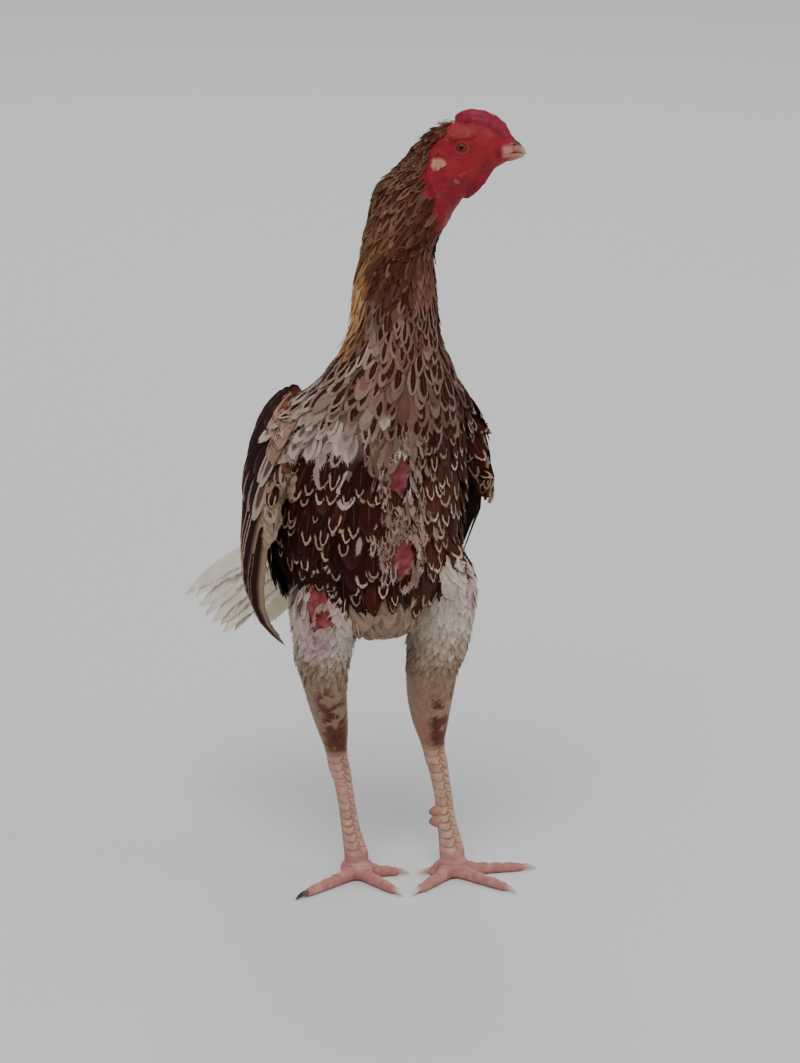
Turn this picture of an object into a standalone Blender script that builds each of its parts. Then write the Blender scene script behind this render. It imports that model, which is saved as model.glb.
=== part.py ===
"""An aseel cockerel as a life-size still model, standing and looking to its left.

Lengths are written in millimetres and become metres where a mesh is made. The
bird faces -Y, its right side is at -X and +Z is up. Every place is measured from
the point on the floor between the two feet, and BASE then moves the whole bird so
that the frame's origin lies under the middle of its box.
"""
import math

import bmesh
import bpy
from mathutils import Vector

MM = 0.001
GAP = 0.3
BASE = Vector((8.0, -92.0, 0.0))
RING_POINTS = 22

# The plane that mirrors the body, and the rows of the trunk from belly to crown.
BODY_X = -22.0
BODY_Y = 9.0
# height, front, back, y of the widest place, half width; y is from BODY_Y
BODY_ROWS = (
    (214.0, -14.0, 26.0, 8.0, 16.0),
    (218.0, -30.0, 46.0, 10.0, 30.0),
    (230.0, -42.0, 74.0, 16.0, 44.0),
    (247.0, -48.0, 94.0, 22.0, 58.0),
    (264.0, -50.0, 103.0, 24.0, 70.0),
    (282.0, -50.0, 105.0, 25.0, 79.0),
    (305.0, -50.0, 102.0, 24.0, 83.0),
    (330.0, -51.0, 96.0, 22.0, 84.0),
    (355.0, -53.0, 86.0, 16.0, 84.0),
    (380.0, -57.0, 72.0, 8.0, 82.0),
    (400.0, -63.0, 58.0, 0.0, 78.0),
    (417.0, -69.0, 44.0, -8.0, 73.0),
    (432.0, -72.0, 29.0, -16.0, 66.0),
    (443.0, -73.0, 20.0, -22.0, 59.0),
)
# height, x and y of the middle from BODY_X and BODY_Y, half depth, half width, twist
NECK_ROWS = (
    (455.0, 1.0, -29.0, 45.0, 51.0, 0.0),
    (468.0, 1.5, -31.0, 41.0, 43.5, 2.0),
    (485.0, 2.5, -32.0, 38.5, 37.5, 5.0),
    (510.0, 3.0, -31.0, 36.5, 35.0, 10.0),
    (532.0, 4.0, -30.0, 34.5, 33.0, 17.0),
    (554.0, 6.5, -31.0, 33.0, 30.0, 26.0),
    (570.0, 12.0, -33.0, 34.0, 27.0, 38.0),
    (585.0, 17.0, -34.0, 36.0, 24.5, 50.0),
)
# The head looks HEAD_TURN degrees to its left of straight ahead.
HEAD_TURN = 60.0
HEAD_X = 32.7
HEAD_Y = -41.1
EYE_Z = 635.0
# height over the eye, place of the greatest width along the head, front, back, half width
HEAD_ROWS = (
    (-34.0, -34.0, 8.0, -71.0, 22.5),
    (-27.0, -27.0, 14.0, -63.0, 20.5),
    (-20.0, -19.0, 24.0, -55.5, 19.0),
    (-12.0, -12.0, 38.0, -48.5, 17.8),
    (-5.0, -7.0, 43.0, -43.0, 17.4),
    (2.0, -4.0, 43.5, -37.0, 17.0),
    (8.0, -2.0, 40.0, -31.5, 16.0),
    (12.5, 1.0, 35.0, -26.0, 14.2),
    (17.0, 3.0, 27.0, -18.0, 10.5),
    (20.0, 4.0, 16.0, -8.0, 5.5),
)
NECK_CUT_Z = 449.0
# The head parts from the neck on a slanted plane behind the ear and under the throat.
NAPE_CUT_POINT = (-30.0, -30.0)
NAPE_CUT_SLOPE = 38.0

EYE_RADIUS = 5.4
EYE_OUT = 12.6
BEAK_BASE = 37.0

# colour, roughness
FINISHES = {
    "feather_dark": ((0.09, 0.03, 0.02, 1.0), 0.75),
    "feather_cream": ((0.62, 0.52, 0.40, 1.0), 0.8),
    "feather_neck": ((0.24, 0.11, 0.05, 1.0), 0.75),
    "red_skin": ((0.50, 0.03, 0.035, 1.0), 0.5),
    "comb_skin": ((0.60, 0.05, 0.08, 1.0), 0.45),
    "horn": ((0.62, 0.42, 0.30, 1.0), 0.35),
    "dark_horn": ((0.08, 0.05, 0.04, 1.0), 0.35),
    "leg_scale": ((0.72, 0.42, 0.34, 1.0), 0.5),
    "lobe_skin": ((0.80, 0.52, 0.48, 1.0), 0.55),
    "eye": ((0.25, 0.06, 0.02, 1.0), 0.1),
}

parts = bpy.data.collections.new("aseel_cockerel")
work = bpy.data.collections.new("pieces_and_cutters")


def cubic_row(rows, place):
    """The values of a table of rows at a place, on a smooth cubic through them."""
    keys = [row[0] for row in rows]
    place = min(max(place, keys[0]), keys[-1])
    after = 1
    while after < len(rows) - 1 and keys[after] < place:
        after += 1
    before = after - 1
    span = keys[after] - keys[before]
    t = (place - keys[before]) / span

    def slope(index, column):
        low = max(index - 1, 0)
        high = min(index + 1, len(rows) - 1)
        return (rows[high][column] - rows[low][column]) / (keys[high] - keys[low])

    values = []
    for column in range(1, len(rows[0])):
        start = rows[before][column]
        end = rows[after][column]
        leave = slope(before, column) * span
        arrive = slope(after, column) * span
        values.append(
            (2 * t**3 - 3 * t**2 + 1) * start
            + (t**3 - 2 * t**2 + t) * leave
            + (3 * t**2 - 2 * t**3) * end
            + (t**3 - t**2) * arrive
        )
    return values


def material(finish):
    """The Principled material of a finish, made once."""
    if finish in bpy.data.materials:
        return bpy.data.materials[finish]
    colour, roughness = FINISHES[finish]
    made = bpy.data.materials.new(finish)
    made.use_nodes = True
    shader = made.node_tree.nodes["Principled BSDF"]
    shader.inputs["Base Color"].default_value = colour
    shader.inputs["Roughness"].default_value = roughness
    made.diffuse_color = colour
    return made


def object_from(name, points, faces, collection):
    """A closed mesh object from points in millimetres and their faces."""
    mesh = bpy.data.meshes.new(name)
    mesh.from_pydata([tuple(point * MM) for point in points], [], faces)
    form = bmesh.new()
    form.from_mesh(mesh)
    bmesh.ops.recalc_face_normals(form, faces=form.faces)
    form.to_mesh(mesh)
    form.free()
    made = bpy.data.objects.new(name, mesh)
    collection.objects.link(made)
    return made


def loft(name, rings, collection=None):
    """A closed body through rings of the same number of points, with flat ends."""
    count = len(rings[0])
    points = [point for ring in rings for point in ring]
    faces = []
    for low in range(len(rings) - 1):
        for corner in range(count):
            following = (corner + 1) % count
            a = low * count + corner
            b = low * count + following
            faces.append((a, b, b + count))
            faces.append((a, b + count, a + count))
    faces.append(tuple(range(count)))
    faces.append(tuple(range(len(points) - count, len(points))))
    return object_from(name, points, faces, collection or work)


def oval(middle, ahead, beside, front, back, half_width, count=RING_POINTS, square=1.0):
    """A ring round middle: front and back along ahead, half_width along beside."""
    ring = []
    for index in range(count):
        angle = 2 * math.pi * index / count
        along = math.cos(angle)
        across = math.sin(angle)
        along = math.copysign(abs(along) ** square, along)
        across = math.copysign(abs(across) ** square, across)
        reach = front if along > 0 else back
        ring.append(middle + ahead * along * reach + beside * across * half_width)
    return ring


def applied(subject):
    """The object with its modifiers built into its mesh."""
    bpy.context.view_layer.update()
    graph = bpy.context.evaluated_depsgraph_get()
    mesh = bpy.data.meshes.new_from_object(subject.evaluated_get(graph))
    subject.modifiers.clear()
    subject.data = mesh
    return subject


def boolean(subject, operation, tool, solver="EXACT"):
    """The object after a Boolean with another object, which is then removed."""
    change = subject.modifiers.new(operation, "BOOLEAN")
    change.operation = operation
    change.solver = solver
    change.object = tool
    applied(subject)
    bpy.data.objects.remove(tool)
    return subject


def fuse(subject, pieces):
    """The object joined with a list of closed pieces by one Boolean union."""
    group = bpy.data.collections.new("fuse")
    bpy.context.scene.collection.children.link(group)
    for piece in pieces:
        group.objects.link(piece)
    change = subject.modifiers.new("fuse", "BOOLEAN")
    change.operation = "UNION"
    change.solver = "EXACT"
    change.operand_type = "COLLECTION"
    change.collection = group
    applied(subject)
    for piece in pieces:
        bpy.data.objects.remove(piece)
    bpy.data.collections.remove(group)
    return keep_largest(subject)


def keep_largest(subject):
    """The object with only its largest closed surface."""
    form = bmesh.new()
    form.from_mesh(subject.data)
    bmesh.ops.remove_doubles(form, verts=form.verts, dist=0.002 * MM)
    bmesh.ops.dissolve_degenerate(form, dist=0.002 * MM, edges=form.edges)
    unseen = set(form.faces)
    surfaces = []
    while unseen:
        patch = [unseen.pop()]
        for face in patch:
            for edge in face.edges:
                for neighbour in edge.link_faces:
                    if neighbour in unseen:
                        unseen.remove(neighbour)
                        patch.append(neighbour)
        surfaces.append(patch)
    surfaces.sort(key=lambda patch: sum(face.calc_area() for face in patch))
    spare = [face for patch in surfaces[:-1] for face in patch]
    bmesh.ops.delete(form, geom=spare, context="FACES")
    loose = [vertex for vertex in form.verts if not vertex.link_faces]
    bmesh.ops.delete(form, geom=loose, context="VERTS")
    bmesh.ops.triangulate(form, faces=form.faces)
    form.to_mesh(subject.data)
    form.free()
    return subject


def slice_off(subject, point, normal):
    """The object without what lies beyond a plane on the side of its normal."""
    form = bmesh.new()
    form.from_mesh(subject.data)
    everything = form.verts[:] + form.edges[:] + form.faces[:]
    bmesh.ops.bisect_plane(
        form, geom=everything, plane_co=point * MM, plane_no=normal, clear_outer=True
    )
    rim = [edge for edge in form.edges if edge.is_boundary]
    bmesh.ops.holes_fill(form, edges=rim)
    bmesh.ops.recalc_face_normals(form, faces=form.faces)
    form.to_mesh(subject.data)
    form.free()
    return subject


def node(name, subject, finish):
    """Names a finished piece, gives it its finish and puts it with the parts."""
    subject.name = name
    subject.data.name = name
    subject.data.materials.clear()
    subject.data.materials.append(material(finish))
    for collection in list(subject.users_collection):
        collection.objects.unlink(subject)
    parts.objects.link(subject)
    subject.parent = bird
    subject.data.shade_smooth()
    subject.data.set_sharp_from_angle(angle=math.radians(40.0))
    return subject


def heading(degrees):
    """The level directions ahead and to the left of something turned to its left."""
    turn = math.radians(degrees)
    ahead = Vector((math.sin(turn), -math.cos(turn), 0.0))
    beside = Vector((math.cos(turn), math.sin(turn), 0.0))
    return ahead, beside


HEAD_AHEAD, HEAD_LEFT = heading(HEAD_TURN)
UP = Vector((0.0, 0.0, 1.0))


def head_place(forward, left, up):
    """A point of the head's own frame, whose origin is midway between the eyes."""
    middle = Vector((HEAD_X, HEAD_Y, EYE_Z))
    return middle + HEAD_AHEAD * forward + HEAD_LEFT * left + UP * up


def trunk_rows():
    """All rows of the trunk as height, x, y, front, back, half width and twist."""
    rows = []
    for height, front, back, widest, half_width in BODY_ROWS:
        rows.append(
            (height, BODY_X, BODY_Y + widest, widest - front, back - widest, half_width, 0.0)
        )
    for height, x, y, depth, half_width, twist in NECK_ROWS:
        rows.append((height, BODY_X + x, BODY_Y + y, depth, depth, half_width, twist))
    for up, widest, front, back, half_width in HEAD_ROWS:
        middle = head_place(widest, 0.0, up)
        rows.append(
            (
                middle.z,
                middle.x,
                middle.y,
                front - widest,
                widest - back,
                half_width,
                HEAD_TURN,
            )
        )
    return rows


TRUNK = trunk_rows()
SQUARE = 0.94


def trunk_ring(height, grow=0.0):
    """The trunk's ring at a height, grown outwards by a little where asked."""
    x, y, front, back, half_width, twist = cubic_row(TRUNK, height)
    ahead, beside = heading(twist)
    middle = Vector((x, y, height))
    return oval(
        middle, ahead, beside, front + grow, back + grow, half_width + grow, square=SQUARE
    )


def trunk_point(height, angle, out=0.0):
    """A point of the trunk's surface; the angle is 0 at the front, 90 at its left."""
    x, y, front, back, half_width, twist = cubic_row(TRUNK, height)
    ahead, beside = heading(twist)
    along = math.cos(math.radians(angle))
    across = math.sin(math.radians(angle))
    reach = (front if along > 0 else back) + out
    return Vector((x, y, height)) + ahead * along * reach + beside * across * (half_width + out)


def trunk_levels(lowest, highest, step):
    """Evenly spaced heights from lowest to highest."""
    count = max(1, round((highest - lowest) / step))
    return [lowest + (highest - lowest) * index / count for index in range(count + 1)]


def trunk_piece(name, levels, grow=0.0):
    """A closed stretch of the trunk through the given heights."""
    return loft(name, [trunk_ring(level, grow) for level in levels])


def torso_levels(grow=0.0):
    """The heights of the torso's rings, closer together under the belly."""
    lowest = BODY_ROWS[0][0]
    start = [lowest - grow] if grow else [lowest]
    return start + [218.0, 224.0] + trunk_levels(232.0, NECK_CUT_Z, 15.5)


def torso_with(grow=0.0):
    """The torso, or a cutter that is a little bigger than it."""
    return trunk_piece("torso", torso_levels(grow), grow)


def vane(name, centres, sides, outs, half_widths, thickness, camber=0.0, columns=2):
    """A thin feather blade through stations, split alike on its two faces."""
    points = []
    faces = []
    last = len(centres) - 1
    for index, centre in enumerate(centres):
        thick = thickness * (1.0 if index < last else 0.75)
        for column in range(columns):
            across = 2.0 * column / (columns - 1) - 1.0
            bend = camber * half_widths[index] * (1.0 - across * across)
            spot = centre + sides[index] * across * half_widths[index] + outs[index] * bend
            points.append(spot + outs[index] * thick / 2)
            points.append(spot - outs[index] * thick / 2)
    row = 2 * columns

    def corner(station, column, under):
        return station * row + 2 * column + under

    for station in range(last):
        for column in range(columns - 1):
            for under in (0, 1):
                a = corner(station, column, under)
                b = corner(station, column + 1, under)
                c = corner(station + 1, column + 1, under)
                d = corner(station + 1, column, under)
                faces += [(a, b, c), (a, c, d)]
        for column in (0, columns - 1):
            a = corner(station, column, 0)
            b = corner(station, column, 1)
            c = corner(station + 1, column, 1)
            d = corner(station + 1, column, 0)
            faces += [(a, b, c), (a, c, d)]
    for station in (0, last):
        for column in range(columns - 1):
            a = corner(station, column, 0)
            b = corner(station, column + 1, 0)
            c = corner(station, column + 1, 1)
            d = corner(station, column, 1)
            faces += [(a, b, c), (a, c, d)]
    return object_from(name, points, faces, work)


# Torso, neck and head are one form, parted by thin cuts.


def make_torso():
    return node("torso", keep_largest(torso_with()), "feather_dark")


def nape_plane():
    """A point on the cut between neck and head, and its direction to the head."""
    slope = math.radians(NAPE_CUT_SLOPE)
    point = head_place(NAPE_CUT_POINT[0], 0.0, NAPE_CUT_POINT[1])
    return point, HEAD_AHEAD * math.sin(slope) + UP * math.cos(slope)


# height of the roots and of the tips at the rear, count, reach to each side from the
# rear in degrees, distance out
HACKLE_TIERS = (
    (540.0, 457.0, 8, 112.0, 1.3),
    (583.0, 492.0, 7, 98.0, 3.0),
)
HACKLE_RISE = 46.0
HACKLE_HALF_WIDTH = 7.4
HACKLE_PARTS = (0.0, 0.3, 0.75, 1.0)
HACKLE_WIDTHS = (0.6, 1.0, 0.85, 0.3)
HACKLE_SUNK = 4.5


def hackle_vane(root_z, tip_z, from_rear, out):
    """One neck feather lying down the neck, standing off a little at the rear."""
    tip_z += HACKLE_RISE * (from_rear / 110.0) ** 2
    angle = 180.0 + from_rear
    flare = 3.5 * max(0.0, math.cos(math.radians(from_rear)))
    centres = []
    sides = []
    outs = []
    for part in HACKLE_PARTS:
        height = root_z + (tip_z - root_z) * part
        stand = out + flare * part if part else -HACKLE_SUNK
        centre = trunk_point(height, angle, stand)
        across = trunk_point(height, angle + 6.0, stand) - trunk_point(height, angle - 6.0, stand)
        across.normalize()
        run = trunk_point(height - 4.0, angle, stand) - trunk_point(height + 4.0, angle, stand)
        centres.append(centre)
        sides.append(across)
        outs.append(across.cross(run).normalized())
    widths = [HACKLE_HALF_WIDTH * share for share in HACKLE_WIDTHS]
    return vane("hackle", centres, sides, outs, widths, VANE_THICK)


def make_neck():
    """The neck with its cape of long feathers round the rear and sides."""
    levels = trunk_levels(NECK_CUT_Z + GAP, 635.0, 12.0)
    neck = trunk_piece("neck", levels)
    point, towards_head = nape_plane()
    slice_off(neck, point - towards_head * GAP / 2, towards_head)
    hackles = []
    for root_z, tip_z, count, reach, out in HACKLE_TIERS:
        for place in range(count):
            from_rear = reach * (2.0 * place / (count - 1) - 1.0)
            hackles.append(hackle_vane(root_z, tip_z, from_rear, out))
    fuse(neck, hackles)
    return node("neck", neck, "feather_neck")


def ball(name, middle, radii, segments=12, rings=8, turn=0.0):
    """An ellipsoid with its own length, width and height, turned about +Z."""
    form = bmesh.new()
    bmesh.ops.create_uvsphere(form, u_segments=segments, v_segments=rings, radius=1.0)
    ahead, beside = heading(turn)
    for vertex in form.verts:
        spot = vertex.co.copy()
        place = ahead * spot.x * radii[0] + beside * spot.y * radii[1] + UP * spot.z * radii[2]
        vertex.co = (middle + place) * MM
    mesh = bpy.data.meshes.new(name)
    bmesh.ops.triangulate(form, faces=form.faces)
    bmesh.ops.recalc_face_normals(form, faces=form.faces)
    form.to_mesh(mesh)
    form.free()
    made = bpy.data.objects.new(name, mesh)
    work.objects.link(made)
    return made


def head_with(grow=0.0):
    """The head with the cheeks, brows and throat, or a cutter a little bigger."""
    levels = trunk_levels(566.0, 602.0, 9.0) + trunk_levels(608.0, 655.0 + grow, 5.5)
    head = trunk_piece("head", levels, grow)
    point, towards_head = nape_plane()
    slice_off(head, point + towards_head * (GAP / 2 - grow), -towards_head)
    slice_off(head, head_place(BEAK_BASE + grow, 0.0, 0.0), HEAD_AHEAD)
    return head


def eye_place(side):
    """The middle of an eyeball; side is -1 for the bird's right and 1 for its left."""
    return head_place(0.0, side * EYE_OUT, 0.0)


def lid_ring(side):
    """The raised rim of lids round one eye."""
    spine = []
    steps = 12
    for index in range(steps):
        angle = 2 * math.pi * index / steps
        along = math.cos(angle) * 6.4
        up = math.sin(angle) * 5.4
        spine.append((along, up))
    rings = []
    for index in range(steps):
        along, up = spine[index]
        radial = (HEAD_AHEAD * along + UP * up).normalized()
        middle = head_place(along, side * (EYE_OUT + 3.4), up)
        ring = []
        for corner in range(6):
            angle = 2 * math.pi * corner / 6
            ring.append(
                middle + radial * 1.5 * math.cos(angle) + HEAD_LEFT * 1.9 * math.sin(angle)
            )
        rings.append(ring)
    points = [point for ring in rings for point in ring]
    faces = []
    for index in range(steps):
        following = (index + 1) % steps
        for corner in range(6):
            beyond = (corner + 1) % 6
            a = index * 6 + corner
            b = index * 6 + beyond
            c = following * 6 + beyond
            d = following * 6 + corner
            faces += [(a, b, c), (a, c, d)]
    return object_from("lids", points, faces, work)


def make_head():
    head = head_with()
    cheeks = [
        ball("cheek", head_place(-14.0, side * 8.0, -22.0), (17.0, 12.0, 17.0), 12, 8, HEAD_TURN)
        for side in (-1, 1)
    ]
    fuse(head, [lid_ring(side) for side in (-1, 1)] + cheeks)
    slice_back = nape_plane()
    slice_off(head, slice_back[0] + slice_back[1] * GAP / 2, -slice_back[1])
    for side in (-1, 1):
        radius = EYE_RADIUS + GAP
        socket = ball("socket", eye_place(side), (radius, radius, radius), 12, 8, HEAD_TURN)
        boolean(head, "DIFFERENCE", socket)
    return node("head", keep_largest(head), "red_skin")


def make_eyes():
    for side, name in ((-1, "eye_r"), (1, "eye_l")):
        radii = (EYE_RADIUS, EYE_RADIUS, EYE_RADIUS)
        node(name, ball(name, eye_place(side), radii, 10, 7, HEAD_TURN), "eye")


def beak_half(name, rows):
    """One half of the beak, from rows of forward, top, bottom and half width."""
    rings = []
    for forward, top, bottom, half_width in rows:
        middle = head_place(forward, 0.0, (top + bottom) / 2)
        rings.append(oval(middle, UP, HEAD_LEFT, (top - bottom) / 2, (top - bottom) / 2,
                          half_width, count=12, square=0.9))
    return loft(name, rings)


def make_beak():
    start = BEAK_BASE + GAP
    upper = beak_half(
        "beak_upper",
        (
            (start, 6.4, -5.2, 8.6),
            (40.5, 5.6, -5.4, 7.6),
            (44.0, 3.6, -5.8, 6.0),
            (47.5, 0.8, -6.4, 4.2),
            (50.2, -2.6, -7.2, 2.4),
            (51.6, -5.8, -7.9, 0.9),
        ),
    )
    for side in (-1, 1):
        nostril = ball("nostril", head_place(41.5, side * 7.6, 1.4), (2.2, 1.2, 0.9), 8, 6, 60.0)
        boolean(upper, "DIFFERENCE", nostril)
    node("beak_upper", keep_largest(upper), "horn")
    lower = beak_half(
        "beak_lower",
        (
            (start, -5.6, -13.4, 7.4),
            (40.5, -5.9, -12.9, 6.4),
            (44.0, -6.3, -11.6, 5.0),
            (47.0, -7.0, -10.4, 3.4),
            (49.2, -7.9, -9.6, 1.6),
        ),
    )
    node("beak_lower", keep_largest(lower), "horn")


# forward and up along the top of the comb's middle ridge, seen from the side
COMB_LINE = ((33.0, 5.0), (31.5, 11.0), (27.0, 16.5), (19.0, 21.0), (7.0, 23.5), (-6.5, 21.5))


def comb_ridge(left, lift, thickness, bulbs, phase):
    """One of the comb's ridges, swelling into bulbs along its line."""
    rows = [(index / (len(COMB_LINE) - 1), *spot) for index, spot in enumerate(COMB_LINE)]
    steps = bulbs * 2
    rings = []
    for index in range(steps + 1):
        part = index / steps
        forward, up = cubic_row(rows, part)
        nearer = cubic_row(rows, max(part - 0.02, 0.0))
        farther = cubic_row(rows, min(part + 0.02, 1.0))
        tangent = (head_place(farther[0], 0, farther[1]) - head_place(nearer[0], 0, nearer[1]))
        tangent.normalize()
        outward = tangent.cross(HEAD_LEFT)
        if outward.z < 0:
            outward = -outward
        swell = 1.0 + 0.16 * math.sin(2 * math.pi * (bulbs * part + phase))
        end = min(1.0, 0.42 + 3.2 * min(part + 0.02, 1.0 - part + 0.03))
        half = thickness * swell * end
        middle = head_place(forward, left, up + lift)
        rings.append(oval(middle, outward, HEAD_LEFT, half * 1.15, half * 1.5, half, count=8))
    return loft("ridge", rings)


def make_comb():
    comb = comb_ridge(0.0, -0.5, 5.6, 5, 0.25)
    sides = [comb_ridge(side * 5.4, -3.6, 4.4, 4, 0.0 if side < 0 else 0.3) for side in (-1, 1)]
    fuse(comb, sides)
    boolean(comb, "DIFFERENCE", head_with(GAP))
    keep_largest(comb)
    slice_off(comb, head_place(0.0, 0.0, 7.0), -UP)
    return node("comb", keep_largest(comb), "comb_skin")


def make_earlobes():
    for side, name in ((-1, "earlobe_r"), (1, "earlobe_l")):
        lobe = ball(name, head_place(-18.3, side * 17.6, -14.5), (7.6, 3.4, 5.4), 9, 6, HEAD_TURN)
        boolean(lobe, "DIFFERENCE", whole_head_cutter())
        node(name, keep_largest(lobe), "lobe_skin")


def whole_head_cutter():
    """Head and cheeks, a gap's width bigger than they are."""
    cutter = head_with(GAP)
    cheeks = [
        ball(
            "cheek",
            head_place(-14.0, side * 8.0, -22.0),
            (17.0 + GAP, 12.0 + GAP, 17.0 + GAP),
            12,
            8,
            HEAD_TURN,
        )
        for side in (-1, 1)
    ]
    return fuse(cutter, cheeks)


def make_wattles():
    """The two short folds of skin under the chin."""
    for side, name in ((-1, "wattle_r"), (1, "wattle_l")):
        rows = (
            (-15.0, 24.0, 5.0, 2.6),
            (-21.0, 17.0, 7.4, 3.6),
            (-28.0, 11.5, 8.6, 4.2),
            (-35.0, 7.5, 8.2, 4.0),
            (-41.0, 4.0, 5.2, 3.0),
            (-44.5, 3.0, 2.0, 1.4),
        )
        rings = []
        for up, forward, depth, half_width in rows:
            middle = head_place(forward, side * (half_width + 1.2), up)
            rings.append(oval(middle, HEAD_AHEAD, HEAD_LEFT, depth, depth, half_width, count=9))
        wattle = loft(name, rings)
        boolean(wattle, "DIFFERENCE", whole_head_cutter())
        node(name, keep_largest(wattle), "red_skin")


# Wings are laid out as seen from the bird's side, in y and z, and lie on a guide
# surface whose distance from the body's middle plane is given by height.
WING_GUIDE = (
    (170.0, 56.0),
    (195.0, 64.0),
    (220.0, 82.0),
    (247.0, 94.0),
    (280.0, 97.5),
    (320.0, 96.5),
    (350.0, 93.0),
    (375.0, 87.0),
    (395.0, 79.0),
    (412.0, 69.0),
    (428.0, 56.0),
)
# The left wing is held a little farther out than the right one.
WING_SPREAD = {-1: 0.0, 1: 8.0}
WING_REAR = 44.0
WING_TUCK = 0.006


def wing_surface(side, y, z, out):
    """A point on a wing's guide surface, moved outwards by out."""
    half = cubic_row(WING_GUIDE, z)[0] - WING_TUCK * max(0.0, y - WING_REAR) ** 2
    return Vector((BODY_X + side * (half + WING_SPREAD[side] + out), y, z))


def wing_normal(side, y, z):
    """The outward direction of a wing's guide surface."""
    down = wing_surface(side, y, z - 2.0, 0.0)
    up = wing_surface(side, y, z + 2.0, 0.0)
    fore = wing_surface(side, y - 2.0, z, 0.0)
    aft = wing_surface(side, y + 2.0, z, 0.0)
    normal = (up - down).cross(aft - fore)
    normal.normalize()
    return normal if normal.x * side > 0 else -normal


# height, front y, rear y, outer and inner reach from the guide, depth of its middle
WING_CORE_COLUMNS = 5
WING_CORE_STEP = 27.0
WING_CORE = (
    (262.0, 44.0, 60.0, -3.0, -5.0, -6.0),
    (285.0, 32.0, 66.0, -1.5, -5.0, -10.0),
    (310.0, 22.0, 70.0, 0.5, -5.0, -22.0),
    (335.0, 14.0, 70.0, 2.8, -6.0, -28.0),
    (358.0, 9.0, 68.0, 6.4, -7.0, -30.0),
    (378.0, 6.0, 66.0, 9.8, -8.0, -30.0),
    (396.0, 5.0, 60.0, 12.6, -8.0, -30.0),
    (410.0, 8.0, 50.0, 12.6, -8.0, -28.0),
    (422.0, 14.0, 38.0, 9.0, -6.0, -20.0),
    (430.0, 20.0, 32.0, 4.0, -5.0, -16.0),
)
# count, first root, last root, first tip, last tip, half width, out, bow; (y, z)
WING_TIERS = {
    "primaries": (6, (15.0, 340.0), (42.0, 340.0), (75.0, 195.0), (95.0, 232.0), 6.5, 0.0, -9.0),
    "secondaries": (7, (13.0, 366.0), (56.0, 372.0), (70.0, 238.0), (106.0, 312.0), 8.5, 3.4, -4.0),
    "greater": (7, (10.0, 384.0), (56.0, 390.0), (34.0, 322.0), (92.0, 344.0), 7.5, 6.8, -2.0),
    "median": (6, (10.0, 400.0), (48.0, 403.0), (20.0, 356.0), (74.0, 374.0), 7.5, 9.8, -1.0),
}
VANE_STATIONS = (0.0, 0.3, 0.62, 0.86, 1.0)
VANE_WIDTHS = (0.5, 0.95, 1.0, 0.78, 0.24)
COVERT_STATIONS = (0.0, 0.4, 0.8, 1.0)
COVERT_WIDTHS = (0.5, 1.0, 0.85, 0.3)
COVERTS_OUT = 5.0
VANE_THICK = 0.6
VANE_APART = 0.92


def tier_spot(tier, place, part):
    """Where a feather of a tier runs, in y and z, at a part of its length."""
    count, root_a, root_b, tip_a, tip_b, _, _, bow = tier
    share = place / (count - 1)
    root = Vector(root_a).lerp(Vector(root_b), share)
    tip = Vector(tip_a).lerp(Vector(tip_b), share)
    along = tip - root
    side = Vector((-along.y, along.x)).normalized()
    if side.x > 0:
        side = -side
    return root.lerp(tip, part) - side * bow * 4.0 * part * (1.0 - part)


def wing_vanes(side, tier):
    """The feathers of one tier, each rolled so that its edge lies over the next."""
    count, _, _, _, _, half_width, out, _ = tier
    flight = out < COVERTS_OUT
    stations = VANE_STATIONS if flight else COVERT_STATIONS
    shares = VANE_WIDTHS if flight else COVERT_WIDTHS
    made = []
    for place in range(count):
        centres = []
        sides = []
        outs = []
        for part in stations:
            spot = tier_spot(tier, place, part)
            near = place + (1 if place < count - 1 else -1)
            other = tier_spot(tier, near, part)
            ahead = tier_spot(tier, place, min(part + 0.05, 1.0))
            behind = tier_spot(tier, place, max(part - 0.05, 0.0))
            centre = wing_surface(side, spot.x, spot.y, 0.0)
            normal = wing_normal(side, spot.x, spot.y)
            run = wing_surface(side, ahead.x, ahead.y, 0.0)
            run = (run - wing_surface(side, behind.x, behind.y, 0.0)).normalized()
            across = normal.cross(run).normalized()
            if across.y < 0:
                across = -across
            offset = wing_surface(side, other.x, other.y, 0.0) - centre
            spacing = max(abs(offset.dot(across)), 1.5)
            roll = min(VANE_APART / spacing, 0.42)
            tilted = (across + normal * roll).normalized()
            centres.append(centre + normal * out)
            sides.append(tilted)
            outs.append((normal - across * roll).normalized())
        widths = [half_width * share for share in shares]
        made.append(vane("vane", centres, sides, outs, widths, VANE_THICK))
    return made


def wing_form(side, rows, step):
    """A smooth folded wing through rows of its outline and thickness."""
    rings = []
    for z in trunk_levels(rows[0][0], rows[-1][0], step):
        front, rear, outer, inner, middle = cubic_row(rows, z)
        ring = []
        steps = WING_CORE_COLUMNS
        for index in range(steps):
            share = index / (steps - 1)
            crown = 1.0 - (2.0 * share - 1.0) ** 4
            y = front + (rear - front) * share
            ring.append(wing_surface(side, y, z, outer * (0.4 + 0.6 * crown)))
        for index in range(steps):
            share = 1.0 - index / (steps - 1)
            y = front + (rear - front) * share
            depth = middle - WING_SPREAD[side] if 0 < index < steps - 1 else inner
            ring.append(wing_surface(side, y, z, depth))
        rings.append(ring)
    core = loft("wing_form", rings)
    boolean(core, "DIFFERENCE", torso_with(GAP))
    return keep_largest(core)


def make_wings():
    for side, name in ((-1, "wing_r"), (1, "wing_l")):
        wing = wing_form(side, WING_CORE, WING_CORE_STEP)
        vanes = []
        for tier in WING_TIERS.values():
            vanes += wing_vanes(side, tier)
        node(name, fuse(wing, vanes), "feather_dark")


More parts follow.
